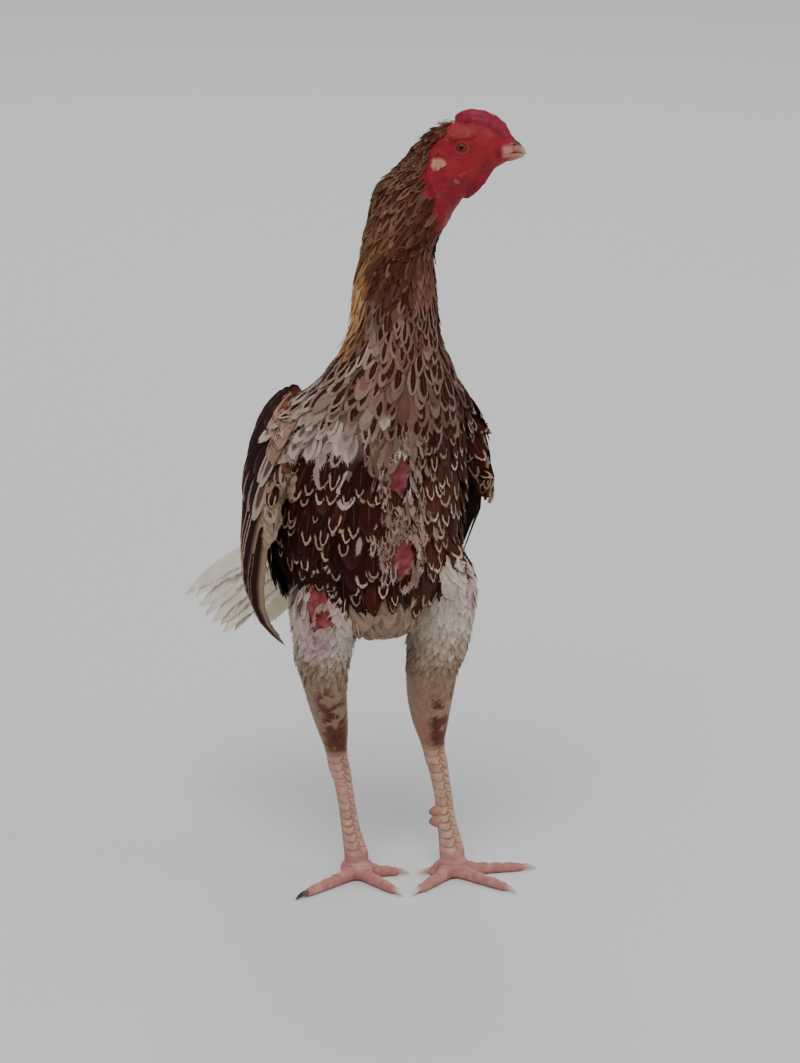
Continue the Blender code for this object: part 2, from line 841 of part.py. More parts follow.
# The tail droops and swings a little to the bird's right.
TAIL_ROOT = Vector((BODY_X - 6.0, 92.0, 262.0))
TAIL_SWING = 18.5
TAIL_ROOF = 60.0
TAIL_BEND = 16.0
TAIL_THICK = 0.7
# along the tail, drop of its middle, half width, half height
TAIL_CORE = (
    (-24.0, -4.0, 30.0, 34.0),
    (0.0, 0.0, 29.0, 33.0),
    (22.0, 8.0, 26.0, 30.0),
    (44.0, 18.0, 20.0, 24.0),
    (64.0, 28.0, 9.0, 12.0),
)
# What the first pair of a tier has and what each next pair adds to it: length, drop and
# splay in degrees, lift, distance from the middle plane. Then pairs and half width.
TAIL_TIERS = {
    "tail feathers": ((165.0, -12.6), (10.5, 2.8), (1.0, 1.0), (8.0, -4.4), (7.4, 1.0), 6, 13.0),
    "tail coverts": ((84.0, -5.0), (10.0, 5.0), (6.0, 1.0), (12.0, -6.5), (12.4, 1.4), 4, 10.0),
}
TAIL_VANE_START = 32.0


def tail_frame():
    """The tail's directions: out along it and across it to the bird's left."""
    swing = math.radians(TAIL_SWING)
    out = Vector((-math.sin(swing), math.cos(swing), 0.0))
    left = Vector((math.cos(swing), math.sin(swing), 0.0))
    return out, left


def tail_feather(side, length, drop, splay, lift, apart, half_width):
    """One tail feather, its blade tilted like one side of a roof."""
    out, left = tail_frame()
    yaw = math.radians(splay) * side
    direction = out * math.cos(yaw) + left * math.sin(yaw)
    start = TAIL_ROOT + out * TAIL_VANE_START + left * side * apart + UP * lift
    roof = math.radians(TAIL_ROOF)
    centres = []
    sides = []
    outs = []
    for part in VANE_STATIONS:
        bend = math.radians(drop + TAIL_BEND * part)
        reach = length * part
        run = direction * math.cos(bend) - UP * math.sin(bend)
        flat = run.cross(UP).normalized()
        if flat.dot(left) * side < 0:
            flat = -flat
        lower = run.cross(flat).normalized()
        if lower.z > 0:
            lower = -lower
        across = flat * math.cos(roof) + lower * math.sin(roof)
        normal = run.cross(across).normalized()
        if normal.dot(left) * side < 0:
            normal = -normal
        centres.append(start + run * reach)
        sides.append(across)
        outs.append(normal)
    widths = [half_width * share for share in VANE_WIDTHS]
    return vane("tail_vane", centres, sides, outs, widths, TAIL_THICK)


def make_tail():
    out, left = tail_frame()
    rings = []
    for along, drop, half_width, half_height in TAIL_CORE:
        middle = TAIL_ROOT + out * along - UP * drop
        rings.append(oval(middle, UP, left, half_height, half_height, half_width, count=10))
    tail = loft("tail", rings)
    boolean(tail, "DIFFERENCE", torso_with(GAP))
    keep_largest(tail)
    vanes = []
    for *changes, pairs, half_width in TAIL_TIERS.values():
        for rank in range(pairs):
            values = [first + step * rank for first, step in changes]
            for side in (-1, 1):
                vanes.append(tail_feather(side, *values, half_width))
    node("tail", fuse(tail, vanes), "feather_cream")


# Legs. Rows run upwards: height, x, y, half width and half depth.
LEGS = {
    "r": {
        "side": -1,
        "thigh": (
            (101.0, -43.0, 45.0, 8.8, 9.6),
            (117.0, -46.8, 42.0, 11.2, 12.6),
            (134.5, -52.0, 37.0, 13.6, 16.0),
            (152.0, -57.0, 33.0, 15.2, 19.5),
            (170.0, -61.5, 29.0, 17.0, 23.5),
            (193.0, -65.0, 26.0, 21.5, 28.5),
            (212.0, -64.0, 24.0, 25.0, 33.0),
            (234.0, -64.0, 22.0, 28.0, 38.0),
            (256.0, -63.0, 20.0, 29.0, 41.0),
            (278.0, -58.0, 18.0, 26.0, 38.0),
            (300.0, -52.0, 16.0, 18.0, 28.0),
        ),
        "shank": (
            (22.0, -38.6, 15.6, 10.4, 10.6),
            (30.0, -39.2, 18.8, 9.2, 9.6),
            (41.5, -40.0, 23.6, 7.9, 8.6),
            (60.0, -40.2, 30.6, 7.3, 8.0),
            (78.0, -40.6, 37.6, 7.7, 8.4),
            (91.0, -42.0, 42.6, 9.0, 9.6),
            (100.7, -43.0, 45.0, 8.8, 9.6),
        ),
        "pad": (-38.0, 15.0),
        # toe number, heading to its left in degrees, length of flesh, claw length
        "toes": ((2, 74.0, 36.0, 9.0), (3, 10.5, 56.0, 11.0), (4, -64.0, 68.0, 13.0), (1, 150.0, 27.0, 9.0)),
    },
    "l": {
        "side": 1,
        "thigh": (
            (100.3, 40.0, 28.0, 9.2, 10.0),
            (115.0, 36.4, 25.0, 12.0, 13.6),
            (132.5, 33.2, 21.0, 15.4, 17.6),
            (153.0, 31.8, 18.0, 18.4, 22.0),
            (177.6, 32.6, 15.0, 20.6, 27.0),
            (193.6, 35.6, 13.0, 23.6, 30.0),
            (213.0, 37.6, 12.0, 25.6, 34.0),
            (235.0, 37.0, 10.0, 28.0, 38.0),
            (256.0, 35.5, 9.0, 29.5, 41.0),
            (278.0, 31.0, 8.0, 26.0, 38.0),
            (300.0, 24.0, 7.0, 18.0, 28.0),
        ),
        "shank": (
            (22.0, 38.8, -11.0, 10.8, 11.0),
            (30.0, 39.4, -6.6, 9.7, 10.0),
            (47.0, 39.4, 2.0, 8.1, 8.8),
            (64.7, 40.8, 10.6, 7.6, 8.3),
            (81.8, 41.2, 19.6, 8.3, 8.9),
            (92.0, 40.8, 24.6, 9.4, 10.0),
            (100.0, 40.0, 28.0, 9.2, 10.0),
        ),
        "pad": (38.2, -14.7),
        "toes": ((2, -56.0, 56.0, 11.0), (3, 21.6, 62.0, 11.0), (4, 77.0, 62.0, 11.0), (1, -118.0, 21.0, 9.0)),
    },
}
PAD_REACH = 15.0
SCUTE_STEP = 8.5
THIGH_SIDES = 14
SHANK_SIDES = 10
TOE_SIDES = 7


def leg_ring(rows, height, count=SHANK_SIDES, swell=0.0):
    """A level ring of a leg; swell raises its front, as on the edge of a scute."""
    x, y, half_width, half_depth = cubic_row(rows, height)
    middle = Vector((x, y, height))
    ahead, beside = heading(0.0)
    ring = oval(middle, ahead, beside, half_depth, half_depth, half_width, count=count)
    if swell:
        for index, point in enumerate(ring):
            front = max(0.0, math.cos(2 * math.pi * index / count))
            ring[index] = point + (point - middle).normalized() * swell * (0.25 + 0.75 * front)
    return ring


def make_thigh(key, leg):
    rows = leg["thigh"]
    levels = trunk_levels(rows[0][0], rows[-1][0], 16.0)
    thigh = loft("thigh", [leg_ring(rows, level, THIGH_SIDES) for level in levels])
    boolean(thigh, "DIFFERENCE", torso_with(GAP))
    node("thigh_" + key, keep_largest(thigh), "feather_cream")


def make_shank(key, leg):
    """The scaled shank, each front scute standing out over the one below it."""
    rows = leg["shank"]
    low = rows[0][0]
    high = rows[-1][0]
    count = round((high - low) / SCUTE_STEP)
    rings = []
    for index in range(count):
        bottom = low + (high - low) * index / count
        step = (high - low) / count
        rings.append(leg_ring(rows, bottom, SHANK_SIDES, 0.9 if index else 0.0))
        rings.append(leg_ring(rows, bottom + step * 0.86, SHANK_SIDES, 0.1))
    rings.append(leg_ring(rows, high, SHANK_SIDES))
    node("shank_" + key, keep_largest(loft("shank", rings)), "leg_scale")


TOE_ROWS = (
    (0.0, 5.8, 11.5),
    (0.25, 5.4, 9.6),
    (0.6, 4.9, 8.4),
    (0.9, 4.2, 7.4),
    (1.0, 3.4, 6.2),
)


def toe_ring(pad, direction, reach, share, swell, count=TOE_SIDES):
    """An upright ring across a toe with its underside below the floor line."""
    half_width, top = cubic_row(TOE_ROWS, share)
    ahead, beside = heading(direction)
    middle = Vector((pad[0], pad[1], top * 0.42)) + ahead * reach
    ring = []
    for index in range(count):
        angle = 2 * math.pi * index / count
        up = math.cos(angle)
        across = math.sin(angle)
        height = (top * 0.58 + swell) * up if up > 0 else (top * 0.42 + 0.8) * up
        ring.append(middle + UP * height + beside * across * (half_width + swell * max(up, 0.0)))
    return ring


def make_foot(key, leg):
    pad = leg["pad"]
    foot = ball("foot", Vector((pad[0], pad[1], 8.0)), (15.5, 15.0, 11.0), 12, 7)
    stubs = []
    for number, direction, flesh, _ in leg["toes"]:
        rings = []
        for reach in (0.0, 7.0, PAD_REACH + 4.0):
            share = max(0.0, (reach - PAD_REACH) / flesh)
            rings.append(toe_ring(pad, direction, reach, share, 0.0))
        stubs.append(loft("stub", rings))
    shank = leg["shank"]
    lower = Vector((pad[0], pad[1], 4.0))
    top_ring = leg_ring(shank, shank[0][0])
    bottom_ring = [lower + (point - Vector((shank[0][1], shank[0][2], shank[0][0]))) for point in top_ring]
    stubs.append(loft("ankle", [bottom_ring, top_ring]))
    fuse(foot, stubs)
    slice_off(foot, Vector((0.0, 0.0, 0.0)), -UP)
    slice_off(foot, Vector((0.0, 0.0, shank[0][0] - GAP)), UP)
    for number, direction, flesh, _ in leg["toes"]:
        ahead, _ = heading(direction)
        slice_off(foot, Vector((pad[0], pad[1], 0.0)) + ahead * PAD_REACH, ahead)
    node("foot_" + key, keep_largest(foot), "leg_scale")
    for number, direction, flesh, claw in leg["toes"]:
        make_toe(key, pad, number, direction, flesh)
        make_claw(key, pad, number, direction, flesh, claw)


def make_toe(key, pad, number, direction, flesh):
    start = PAD_REACH + GAP
    length = flesh - PAD_REACH
    count = max(3, round(length / SCUTE_STEP))
    rings = [toe_ring(pad, direction, start, 0.0, 0.0)]
    for index in range(count):
        base = start + (length - GAP) * index / count
        step = (length - GAP) / count
        share = (index + 0.84) / count
        rings.append(toe_ring(pad, direction, base + step * 0.84, share, 0.5))
        rings.append(toe_ring(pad, direction, base + step, (index + 1) / count, -0.1))
    toe = loft("toe", rings)
    slice_off(toe, Vector((0.0, 0.0, 0.0)), -UP)
    node("toe_" + key + str(number), keep_largest(toe), "leg_scale")


def make_claw(key, pad, number, direction, flesh, length):
    ahead, beside = heading(direction)
    rings = []
    for share, up, half_width, half_height in (
        (0.0, 3.6, 2.3, 2.4),
        (0.35, 3.7, 1.9, 2.1),
        (0.7, 2.9, 1.3, 1.4),
        (1.0, 1.5, 0.4, 0.5),
    ):
        reach = flesh + GAP + length * share
        middle = Vector((pad[0], pad[1], up)) + ahead * reach
        rings.append(oval(middle, UP, beside, half_height, half_height, half_width, count=6))
    finish = "dark_horn" if (key, number) == ("r", 4) else "horn"
    node("claw_" + key + str(number), keep_largest(loft("claw", rings)), finish)


def make_spur(key, leg):
    """The short blunt spur on the inner side of the shank."""
    height = 56.0
    x, y, half_width, half_depth = cubic_row(leg["shank"], height)
    inner = Vector((-leg["side"], 0.45, -0.1)).normalized()
    rings = []
    middle = Vector((x, y, height))
    across = inner.cross(UP).normalized()
    for reach, half in ((half_width - 3.0, 4.6), (half_width + 2.5, 4.0), (half_width + 6.0, 2.6),
                        (half_width + 7.6, 0.9)):
        rings.append(oval(middle + inner * reach, UP, across, half, half, half, count=10))
    spur = loft("spur", rings)
    shank = loft("shank_cutter", [leg_ring(leg["shank"], level, SHANK_SIDES, 1.0 + GAP)
                                  for level in trunk_levels(22.0, 100.0, 8.0)])
    boolean(spur, "DIFFERENCE", shank)
    node("spur_" + key, keep_largest(spur), "horn")


def clear_scene():
    for thing in list(bpy.data.objects):
        bpy.data.objects.remove(thing)


clear_scene()
bpy.context.scene.collection.children.link(parts)
bpy.context.scene.collection.children.link(work)
bird = bpy.data.objects.new("bird", None)
bird.location = BASE * MM
parts.objects.link(bird)

make_torso()
make_neck()
make_head()
make_eyes()
make_beak()
make_comb()
make_earlobes()
make_wattles()
make_wings()
make_tail()
for leg_key, leg_sizes in LEGS.items():
    make_thigh(leg_key, leg_sizes)
    make_shank(leg_key, leg_sizes)
    make_foot(leg_key, leg_sizes)
    make_spur(leg_key, leg_sizes)
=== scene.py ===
"""The looks of the aseel cockerel: skin, feathers, wings, tail, head and legs.

Lengths are in millimetres from the point on the floor between the two feet, as in the
part's own design; BASE and MM take them to the frame. The bird faces -Y, its right
side is at -X, and its head looks to its left.
"""

import math
from functools import partial

import bmesh
import bpy
import numpy as np
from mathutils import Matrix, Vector, noise
from mathutils.bvhtree import BVHTree


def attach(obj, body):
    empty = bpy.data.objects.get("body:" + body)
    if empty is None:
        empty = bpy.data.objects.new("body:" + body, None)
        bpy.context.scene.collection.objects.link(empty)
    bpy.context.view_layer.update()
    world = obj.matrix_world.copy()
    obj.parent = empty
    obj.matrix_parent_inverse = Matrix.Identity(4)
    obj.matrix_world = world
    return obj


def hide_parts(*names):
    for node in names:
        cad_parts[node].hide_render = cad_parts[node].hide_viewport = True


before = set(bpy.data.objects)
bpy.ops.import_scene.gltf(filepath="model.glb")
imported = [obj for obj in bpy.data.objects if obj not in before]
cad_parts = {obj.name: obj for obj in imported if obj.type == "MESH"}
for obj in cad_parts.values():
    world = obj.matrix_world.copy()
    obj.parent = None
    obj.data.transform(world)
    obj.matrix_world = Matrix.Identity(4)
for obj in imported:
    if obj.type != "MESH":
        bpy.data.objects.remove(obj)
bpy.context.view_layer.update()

MM = 0.001
BASE = np.array((8.0, -92.0, 0.0))
UP = np.array((0.0, 0.0, 1.0))
rng = np.random.default_rng(20)

# Camera of the photograph, in the feet's frame, in metres.
CAMERA_AT = np.array((-1.64000, -3.50683, 1.3))
CAMERA_TARGET = np.array((0.0082071, 0.0277687, 0.296))
CAMERA_LENS = 161.85

# The trunk's rows, from belly to crown.
BODY_X = -22.0
BODY_Y = 9.0
# height, front, back, y of the widest place, half width; y is from BODY_Y
BODY_ROWS = (
    (214.0, -14.0, 26.0, 8.0, 16.0),
    (218.0, -30.0, 46.0, 10.0, 30.0),
    (230.0, -42.0, 74.0, 16.0, 44.0),
    (247.0, -48.0, 94.0, 22.0, 58.0),
    (264.0, -50.0, 103.0, 24.0, 70.0),
    (282.0, -50.0, 105.0, 25.0, 79.0),
    (305.0, -50.0, 102.0, 24.0, 83.0),
    (330.0, -51.0, 96.0, 22.0, 84.0),
    (355.0, -53.0, 86.0, 16.0, 84.0),
    (380.0, -57.0, 72.0, 8.0, 82.0),
    (400.0, -63.0, 58.0, 0.0, 78.0),
    (417.0, -69.0, 44.0, -8.0, 73.0),
    (432.0, -72.0, 29.0, -16.0, 66.0),
    (443.0, -73.0, 20.0, -22.0, 59.0),
)
# height, x and y of the middle from BODY_X and BODY_Y, half depth, half width, twist
NECK_ROWS = (
    (455.0, 1.0, -29.0, 45.0, 51.0, 0.0),
    (468.0, 1.5, -31.0, 41.0, 43.5, 2.0),
    (485.0, 2.5, -32.0, 38.5, 37.5, 5.0),
    (510.0, 3.0, -31.0, 36.5, 35.0, 10.0),
    (532.0, 4.0, -30.0, 34.5, 33.0, 17.0),
    (554.0, 6.5, -31.0, 33.0, 30.0, 26.0),
    (570.0, 12.0, -33.0, 34.0, 27.0, 38.0),
    (585.0, 17.0, -34.0, 36.0, 24.5, 50.0),
)
HEAD_TURN = 60.0
HEAD_MIDDLE = np.array((32.7, -41.1, 635.0))
# height over the eye, place of the greatest width along the head, front, back, half width
HEAD_ROWS = (
    (-34.0, -34.0, 8.0, -71.0, 22.5),
    (-27.0, -27.0, 14.0, -63.0, 20.5),
    (-20.0, -19.0, 24.0, -55.5, 19.0),
    (-12.0, -12.0, 38.0, -48.5, 17.8),
    (-5.0, -7.0, 43.0, -43.0, 17.4),
    (2.0, -4.0, 43.5, -37.0, 17.0),
    (8.0, -2.0, 40.0, -31.5, 16.0),
    (12.5, 1.0, 35.0, -26.0, 14.2),
    (17.0, 3.0, 27.0, -18.0, 10.5),
    (20.0, 4.0, 16.0, -8.0, 5.5),
)
SQUARE = 0.94

# Rows of each leg run upwards: height, x, y, half width, half depth.
THIGH_ROWS = {
    "r": (
        (101.0, -43.0, 45.0, 8.8, 9.6),
        (117.0, -46.8, 42.0, 11.2, 12.6),
        (134.5, -52.0, 37.0, 13.6, 16.0),
        (152.0, -57.0, 33.0, 15.2, 19.5),
        (170.0, -61.5, 29.0, 17.0, 23.5),
        (193.0, -65.0, 26.0, 21.5, 28.5),
        (212.0, -64.0, 24.0, 25.0, 33.0),
        (234.0, -64.0, 22.0, 28.0, 38.0),
        (256.0, -63.0, 20.0, 29.0, 41.0),
        (278.0, -58.0, 18.0, 26.0, 38.0),
        (300.0, -52.0, 16.0, 18.0, 28.0),
    ),
    "l": (
        (100.3, 40.0, 28.0, 9.2, 10.0),
        (115.0, 36.4, 25.0, 12.0, 13.6),
        (132.5, 33.2, 21.0, 15.4, 17.6),
        (153.0, 31.8, 18.0, 18.4, 22.0),
        (177.6, 32.6, 15.0, 20.6, 27.0),
        (193.6, 35.6, 13.0, 23.6, 30.0),
        (213.0, 37.6, 12.0, 25.6, 34.0),
        (235.0, 37.0, 10.0, 28.0, 38.0),
        (256.0, 35.5, 9.0, 29.5, 41.0),
        (278.0, 31.0, 8.0, 26.0, 38.0),
        (300.0, 24.0, 7.0, 18.0, 28.0),
    ),
}
SHANK_ROWS = {
    "r": (
        (22.0, -38.6, 15.6, 10.4, 10.6),
        (30.0, -39.2, 18.8, 9.2, 9.6),
        (41.5, -40.0, 23.6, 7.9, 8.6),
        (60.0, -40.2, 30.6, 7.3, 8.0),
        (78.0, -40.6, 37.6, 7.7, 8.4),
        (91.0, -42.0, 42.6, 9.0, 9.6),
        (100.7, -43.0, 45.0, 8.8, 9.6),
    ),
    "l": (
        (22.0, 38.8, -11.0, 10.8, 11.0),
        (30.0, 39.4, -6.6, 9.7, 10.0),
        (47.0, 39.4, 2.0, 8.1, 8.8),
        (64.7, 40.8, 10.6, 7.6, 8.3),
        (81.8, 41.2, 19.6, 8.3, 8.9),
        (92.0, 40.8, 24.6, 9.4, 10.0),
        (100.0, 40.0, 28.0, 9.2, 10.0),
    ),
}
PADS = {"r": (-38.0, 15.0), "l": (38.2, -14.7)}
# toe number, heading to its left in degrees, length of flesh, claw length
TOES = {
    "r": ((2, 74.0, 36.0, 9.0), (3, 10.5, 56.0, 11.0), (4, -64.0, 68.0, 13.0), (1, 150.0, 27.0, 9.0)),
    "l": ((2, -56.0, 56.0, 11.0), (3, 21.6, 62.0, 11.0), (4, 77.0, 62.0, 11.0), (1, -118.0, 21.0, 9.0)),
}

# Colours, linear
MAROON = (0.026, 0.0045, 0.0030)
MAROON_WARM = (0.062, 0.012, 0.007)
PLUM = (0.022, 0.0065, 0.0085)
CREAM = (0.60, 0.48, 0.38)
CREAM_PINK = (0.46, 0.31, 0.26)
BUFF = (0.38, 0.22, 0.115)
GOLD = (0.50, 0.235, 0.085)
STRAW = (0.62, 0.36, 0.19)
HACKLE = (0.046, 0.011, 0.005)
UMBER = (0.066, 0.019, 0.010)
SPOT = (0.040, 0.009, 0.005)
WHITE = (0.60, 0.50, 0.40)
TAIL_WHITE = (0.82, 0.76, 0.63)


# Numbers

def cubic_rows(rows, places):
    """The columns of a table at many places, on smooth cubics through its rows."""
    table = np.array(rows, float)
    keys = table[:, 0]
    values = table[:, 1:]
    slopes = np.empty_like(values)
    slopes[1:-1] = (values[2:] - values[:-2]) / (keys[2:] - keys[:-2])[:, None]
    slopes[0] = (values[1] - values[0]) / (keys[1] - keys[0])
    slopes[-1] = (values[-1] - values[-2]) / (keys[-1] - keys[-2])
    places = np.clip(np.asarray(places, float), keys[0], keys[-1])
    low = np.clip(np.searchsorted(keys, places, side="right") - 1, 0, len(keys) - 2)
    span = keys[low + 1] - keys[low]
    t = ((places - keys[low]) / span)[..., None]
    span = span[..., None]
    return (
        (2 * t**3 - 3 * t**2 + 1) * values[low]
        + (t**3 - 2 * t**2 + t) * slopes[low] * span
        + (3 * t**2 - 2 * t**3) * values[low + 1]
        + (t**3 - t**2) * slopes[low + 1] * span
    )


def heading(degrees):
    """The level directions ahead and to the left of something turned to its left."""
    turn = np.radians(degrees)
    zero = np.zeros_like(turn)
    ahead = np.stack([np.sin(turn), -np.cos(turn), zero], -1)
    left = np.stack([np.cos(turn), np.sin(turn), zero], -1)
    return ahead, left


HEAD_AHEAD, HEAD_LEFT = heading(np.array(HEAD_TURN))


def head_place(forward, left, up):
    """A point of the head's own frame, whose origin is midway between the eyes."""
    return HEAD_MIDDLE + HEAD_AHEAD * forward + HEAD_LEFT * left + UP * up


def smooth(low, high, value):
    """0 below low, 1 above high and a smooth step between."""
    t = np.clip((value - low) / (high - low), 0.0, 1.0)
    return t * t * (3 - 2 * t)


def band(value, *edges):
    """A smooth step from the first edge to the second times one from the third to the fourth."""
    return smooth(edges[0], edges[1], value) * smooth(edges[2], edges[3], value)


def mix(a, b, share):
    return np.asarray(a) * (1 - share) + np.asarray(b) * share


def washed(tone, *washes):
    """The tone of every point after washes over it, each a colour and its share at the points."""
    for colour, share in washes:
        tone = mix(tone, colour, share[:, None])
    return tone


def wrapped(angle):
    """An angle in degrees from -180 to 180."""
    return (angle + 180.0) % 360.0 - 180.0


def unit(vectors):
    return vectors / np.maximum(np.linalg.norm(vectors, axis=-1, keepdims=True), 1e-9)


def oval(middle, reach, way, other_reach, other_way, count=24):
    """A ring of points round a middle, from a reach in each of two directions."""
    turns = np.linspace(0, 2 * math.pi, count, endpoint=False)
    return middle + np.outer(np.cos(turns) * reach, way) + np.outer(np.sin(turns) * other_reach, other_way)


# Forms: bodies of level rings

class Form:
    """A body whose level sections are ovals, as rows of its sizes by height."""

    def __init__(self, rows, square=1.0):
        self.rows = np.array(rows, float)
        self.square = square
        self.low = self.rows[0, 0]
        self.high = self.rows[-1, 0]

    def point(self, z, angle, grow=0.0):
        """Points at heights z and angles in degrees, 0 at the front and 90 at the left."""
        z = np.asarray(z, float)
        x, y, front, back, half, twist = np.moveaxis(cubic_rows(self.rows, z), -1, 0)
        ahead, left = heading(twist)
        turn = np.radians(angle)
        along = np.cos(turn)
        across = np.sin(turn)
        along = np.sign(along) * np.abs(along) ** self.square
        across = np.sign(across) * np.abs(across) ** self.square
        reach = np.where(along > 0, front, back) + grow
        middle = np.stack([x, y, z + 0 * x], -1)
        return middle + ahead * (along * reach)[..., None] + left * (across * (half + grow))[..., None]

    def angle(self, points):
        """The angle in degrees at which points lie round the body."""
        z = np.clip(points[..., 2], self.low, self.high)
        x, y, front, back, half, twist = np.moveaxis(cubic_rows(self.rows, z), -1, 0)
        ahead, left = heading(twist)
        away = points - np.stack([x, y, points[..., 2]], -1)
        along = (away * ahead).sum(-1)
        along = along / np.where(along > 0, front, back)
        across = (away * left).sum(-1) / half
        return np.degrees(np.arctan2(across, along))

    def ring(self, z, count, grow=0.0):
        """Points round the body at one height."""
        return self.point(np.full(count, z), np.linspace(0, 360, count, endpoint=False), grow)

    def round(self, z):
        """The length round the body at a height."""
        ring = self.ring(z, 48)
        return np.linalg.norm(ring - np.roll(ring, 1, 0), axis=1).sum()


def trunk_rows():
    rows = []
    for z, front, back, widest, half in BODY_ROWS:
        rows.append((z, BODY_X, BODY_Y + widest, widest - front, back - widest, half, 0.0))
    for z, x, y, depth, half, twist in NECK_ROWS:
        rows.append((z, BODY_X + x, BODY_Y + y, depth, depth, half, twist))
    for up, widest, front, back, half in HEAD_ROWS:
        middle = head_place(widest, 0.0, up)
        rows.append((middle[2], middle[0], middle[1], front - widest, widest - back, half, HEAD_TURN))
    return rows


def leg_rows(rows):
    return [(z, x, y, depth, depth, half, 0.0) for z, x, y, half, depth in rows]


TRUNK = Form(trunk_rows(), SQUARE)
THIGHS = {key: Form(leg_rows(rows)) for key, rows in THIGH_ROWS.items()}
SHANKS = {key: Form(leg_rows(rows)) for key, rows in SHANK_ROWS.items()}


# Meshes

def new_object(name, data):
    made = bpy.data.objects.new(name, data)
    bpy.context.scene.collection.objects.link(made)
    return made


def mesh_object(name, points, faces):
    """An object from points in millimetres in the feet's frame."""
    mesh = bpy.data.meshes.new(name)
    mesh.from_pydata(((np.asarray(points) + BASE) * MM).tolist(), [], faces)
    mesh.validate()
    mesh.shade_smooth()
    return new_object(name, mesh)


def ring_faces(rings, count):
    faces = []
    for low in range(rings - 1):
        for corner in range(count):
            a = low * count + corner
            b = low * count + (corner + 1) % count
            faces.append((a, b, b + count, a + count))
    return faces


def pointed_faces(rings, count, start):
    """Faces of a closed form through rings that ends in one point, numbered from start."""
    last = start + (rings - 1) * count
    faces = [tuple(start + corner for corner in face) for face in ring_faces(rings, count)]
    faces += [(last + corner, last + (corner + 1) % count, last + count) for corner in range(count)]
    faces.append(tuple(range(start, start + count))[::-1])
    return faces


def loft(name, rings):
    """A closed body through rings of points."""
    count = len(rings[0])
    points = np.concatenate(rings)
    faces = ring_faces(len(rings), count)
    faces.append(tuple(range(count))[::-1])
    faces.append(tuple(range(len(points) - count, len(points))))
    return mesh_object(name, points, faces)


def outward(thing):
    form = bmesh.new()
    form.from_mesh(thing.data)
    bmesh.ops.recalc_face_normals(form, faces=form.faces)
    form.to_mesh(thing.data)
    form.free()
    return thing


def join(name, things):
    """Several meshes as one object."""
    whole = bmesh.new()
    for thing in things:
        whole.from_mesh(thing.data)
    mesh = bpy.data.meshes.new(name)
    whole.to_mesh(mesh)
    whole.free()
    for thing in things:
        bpy.data.objects.remove(thing)
    mesh.shade_smooth()
    return new_object(name, mesh)


def apply_modifiers(thing):
    bpy.context.view_layer.update()
    graph = bpy.context.evaluated_depsgraph_get()
    mesh = bpy.data.meshes.new_from_object(thing.evaluated_get(graph))
    thing.modifiers.clear()
    thing.data = mesh
    return thing


def remeshed(thing, voxel, smoothing):
    """The union of a mesh's closed pieces, evened out in a number of rounds."""
    change = thing.modifiers.new("voxels", "REMESH")
    change.mode = "VOXEL"
    change.voxel_size = voxel * MM
    change.use_smooth_shade = True
    soften = thing.modifiers.new("soften", "SMOOTH")
    soften.factor = 0.5
    soften.iterations = smoothing
    return apply_modifiers(thing)


def coordinates(thing):
    """A mesh's points in millimetres in the feet's frame."""
    flat = np.empty(len(thing.data.vertices) * 3)
    thing.data.vertices.foreach_get("co", flat)
    return flat.reshape(-1, 3) / MM - BASE


def vertex_normals(thing):
    flat = np.empty(len(thing.data.vertices) * 3)
    thing.data.vertices.foreach_get("normal", flat)
    return flat.reshape(-1, 3)


def place_vertices(thing, points):
    thing.data.vertices.foreach_set("co", ((points + BASE) * MM).ravel())
    thing.data.update()


def paint(thing, name, values):
    """Stores one colour for each point of a mesh."""
    layer = thing.data.attributes.new(name, "FLOAT_COLOR", "POINT")
    colours = np.ones((len(thing.data.vertices), 4))
    colours[:, : values.shape[1]] = values
    layer.data.foreach_set("color", colours.astype(np.float32).ravel())


def tree_of(thing):
    points = coordinates(thing)
    thing.data.calc_loop_triangles()
    corners = np.empty(len(thing.data.loop_triangles) * 3, dtype=np.int32)
    thing.data.loop_triangles.foreach_get("vertices", corners)
    return BVHTree.FromPolygons([Vector(p) for p in points], corners.reshape(-1, 3).tolist())


def dress(made, material, slot, *replaced):
    """Gives a piece its material and says that it rides on the bird and what it replaces; slot is not used.
    """
    made.data.materials.append(material)
    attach(made, "root")
    if replaced:
        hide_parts(*replaced)


# Body skin

SKIN_DEPTH = 4.0
NECK_SKIN_TOP = 590.0
TAIL_ROOT = np.array((BODY_X - 6.0, 92.0, 262.0))
TAIL_SWING = math.radians(18.5)
TAIL_OUT = np.array((-math.sin(TAIL_SWING), math.cos(TAIL_SWING), 0.0))
TAIL_LEFT = np.array((math.cos(TAIL_SWING), math.sin(TAIL_SWING), 0.0))
# place along the tail, drop, half width, half height
TAIL_ROWS = ((-30, -4, 26, 28), (0, 0, 25, 27), (22, 8, 20, 24), (42, 17, 13, 17), (56, 24, 5, 7))


def body_form(depth):
    """The bare shape of body, neck and thighs, a depth inside the outline of the plumage."""
    pieces = []
    levels = np.arange(TRUNK.low + depth, NECK_SKIN_TOP, 4.0)
    pieces.append(loft("trunk_form", [TRUNK.ring(z, 72, -depth) for z in levels]))
    for thigh in THIGHS.values():
        rings = []
        for z in np.arange(thigh.low, thigh.high + 0.1, 4.0):
            shrink = depth * smooth(164.0, 204.0, z) - 0.9 * smooth(104.0, 130.0, z)
            rings.append(thigh.ring(z, 40, -shrink))
        pieces.append(loft("thigh_form", rings))
    tail = []
    for along, drop, half, tall in TAIL_ROWS:
        tail.append(oval(TAIL_ROOT + TAIL_OUT * along - UP * drop, tall, UP, half, TAIL_LEFT))
    pieces.append(loft("tail_form", tail))
    for side in (-1, 1):
        arm = arm_form(side)
        levels = np.arange(arm.low, arm.high + 0.1, 4.0)
        pieces.append(loft("arm_form", [arm.ring(z, 28) for z in levels]))
    for piece in pieces:
        outward(piece)
    return remeshed(join("body_form", pieces), 3.2, 12)


# Feathers

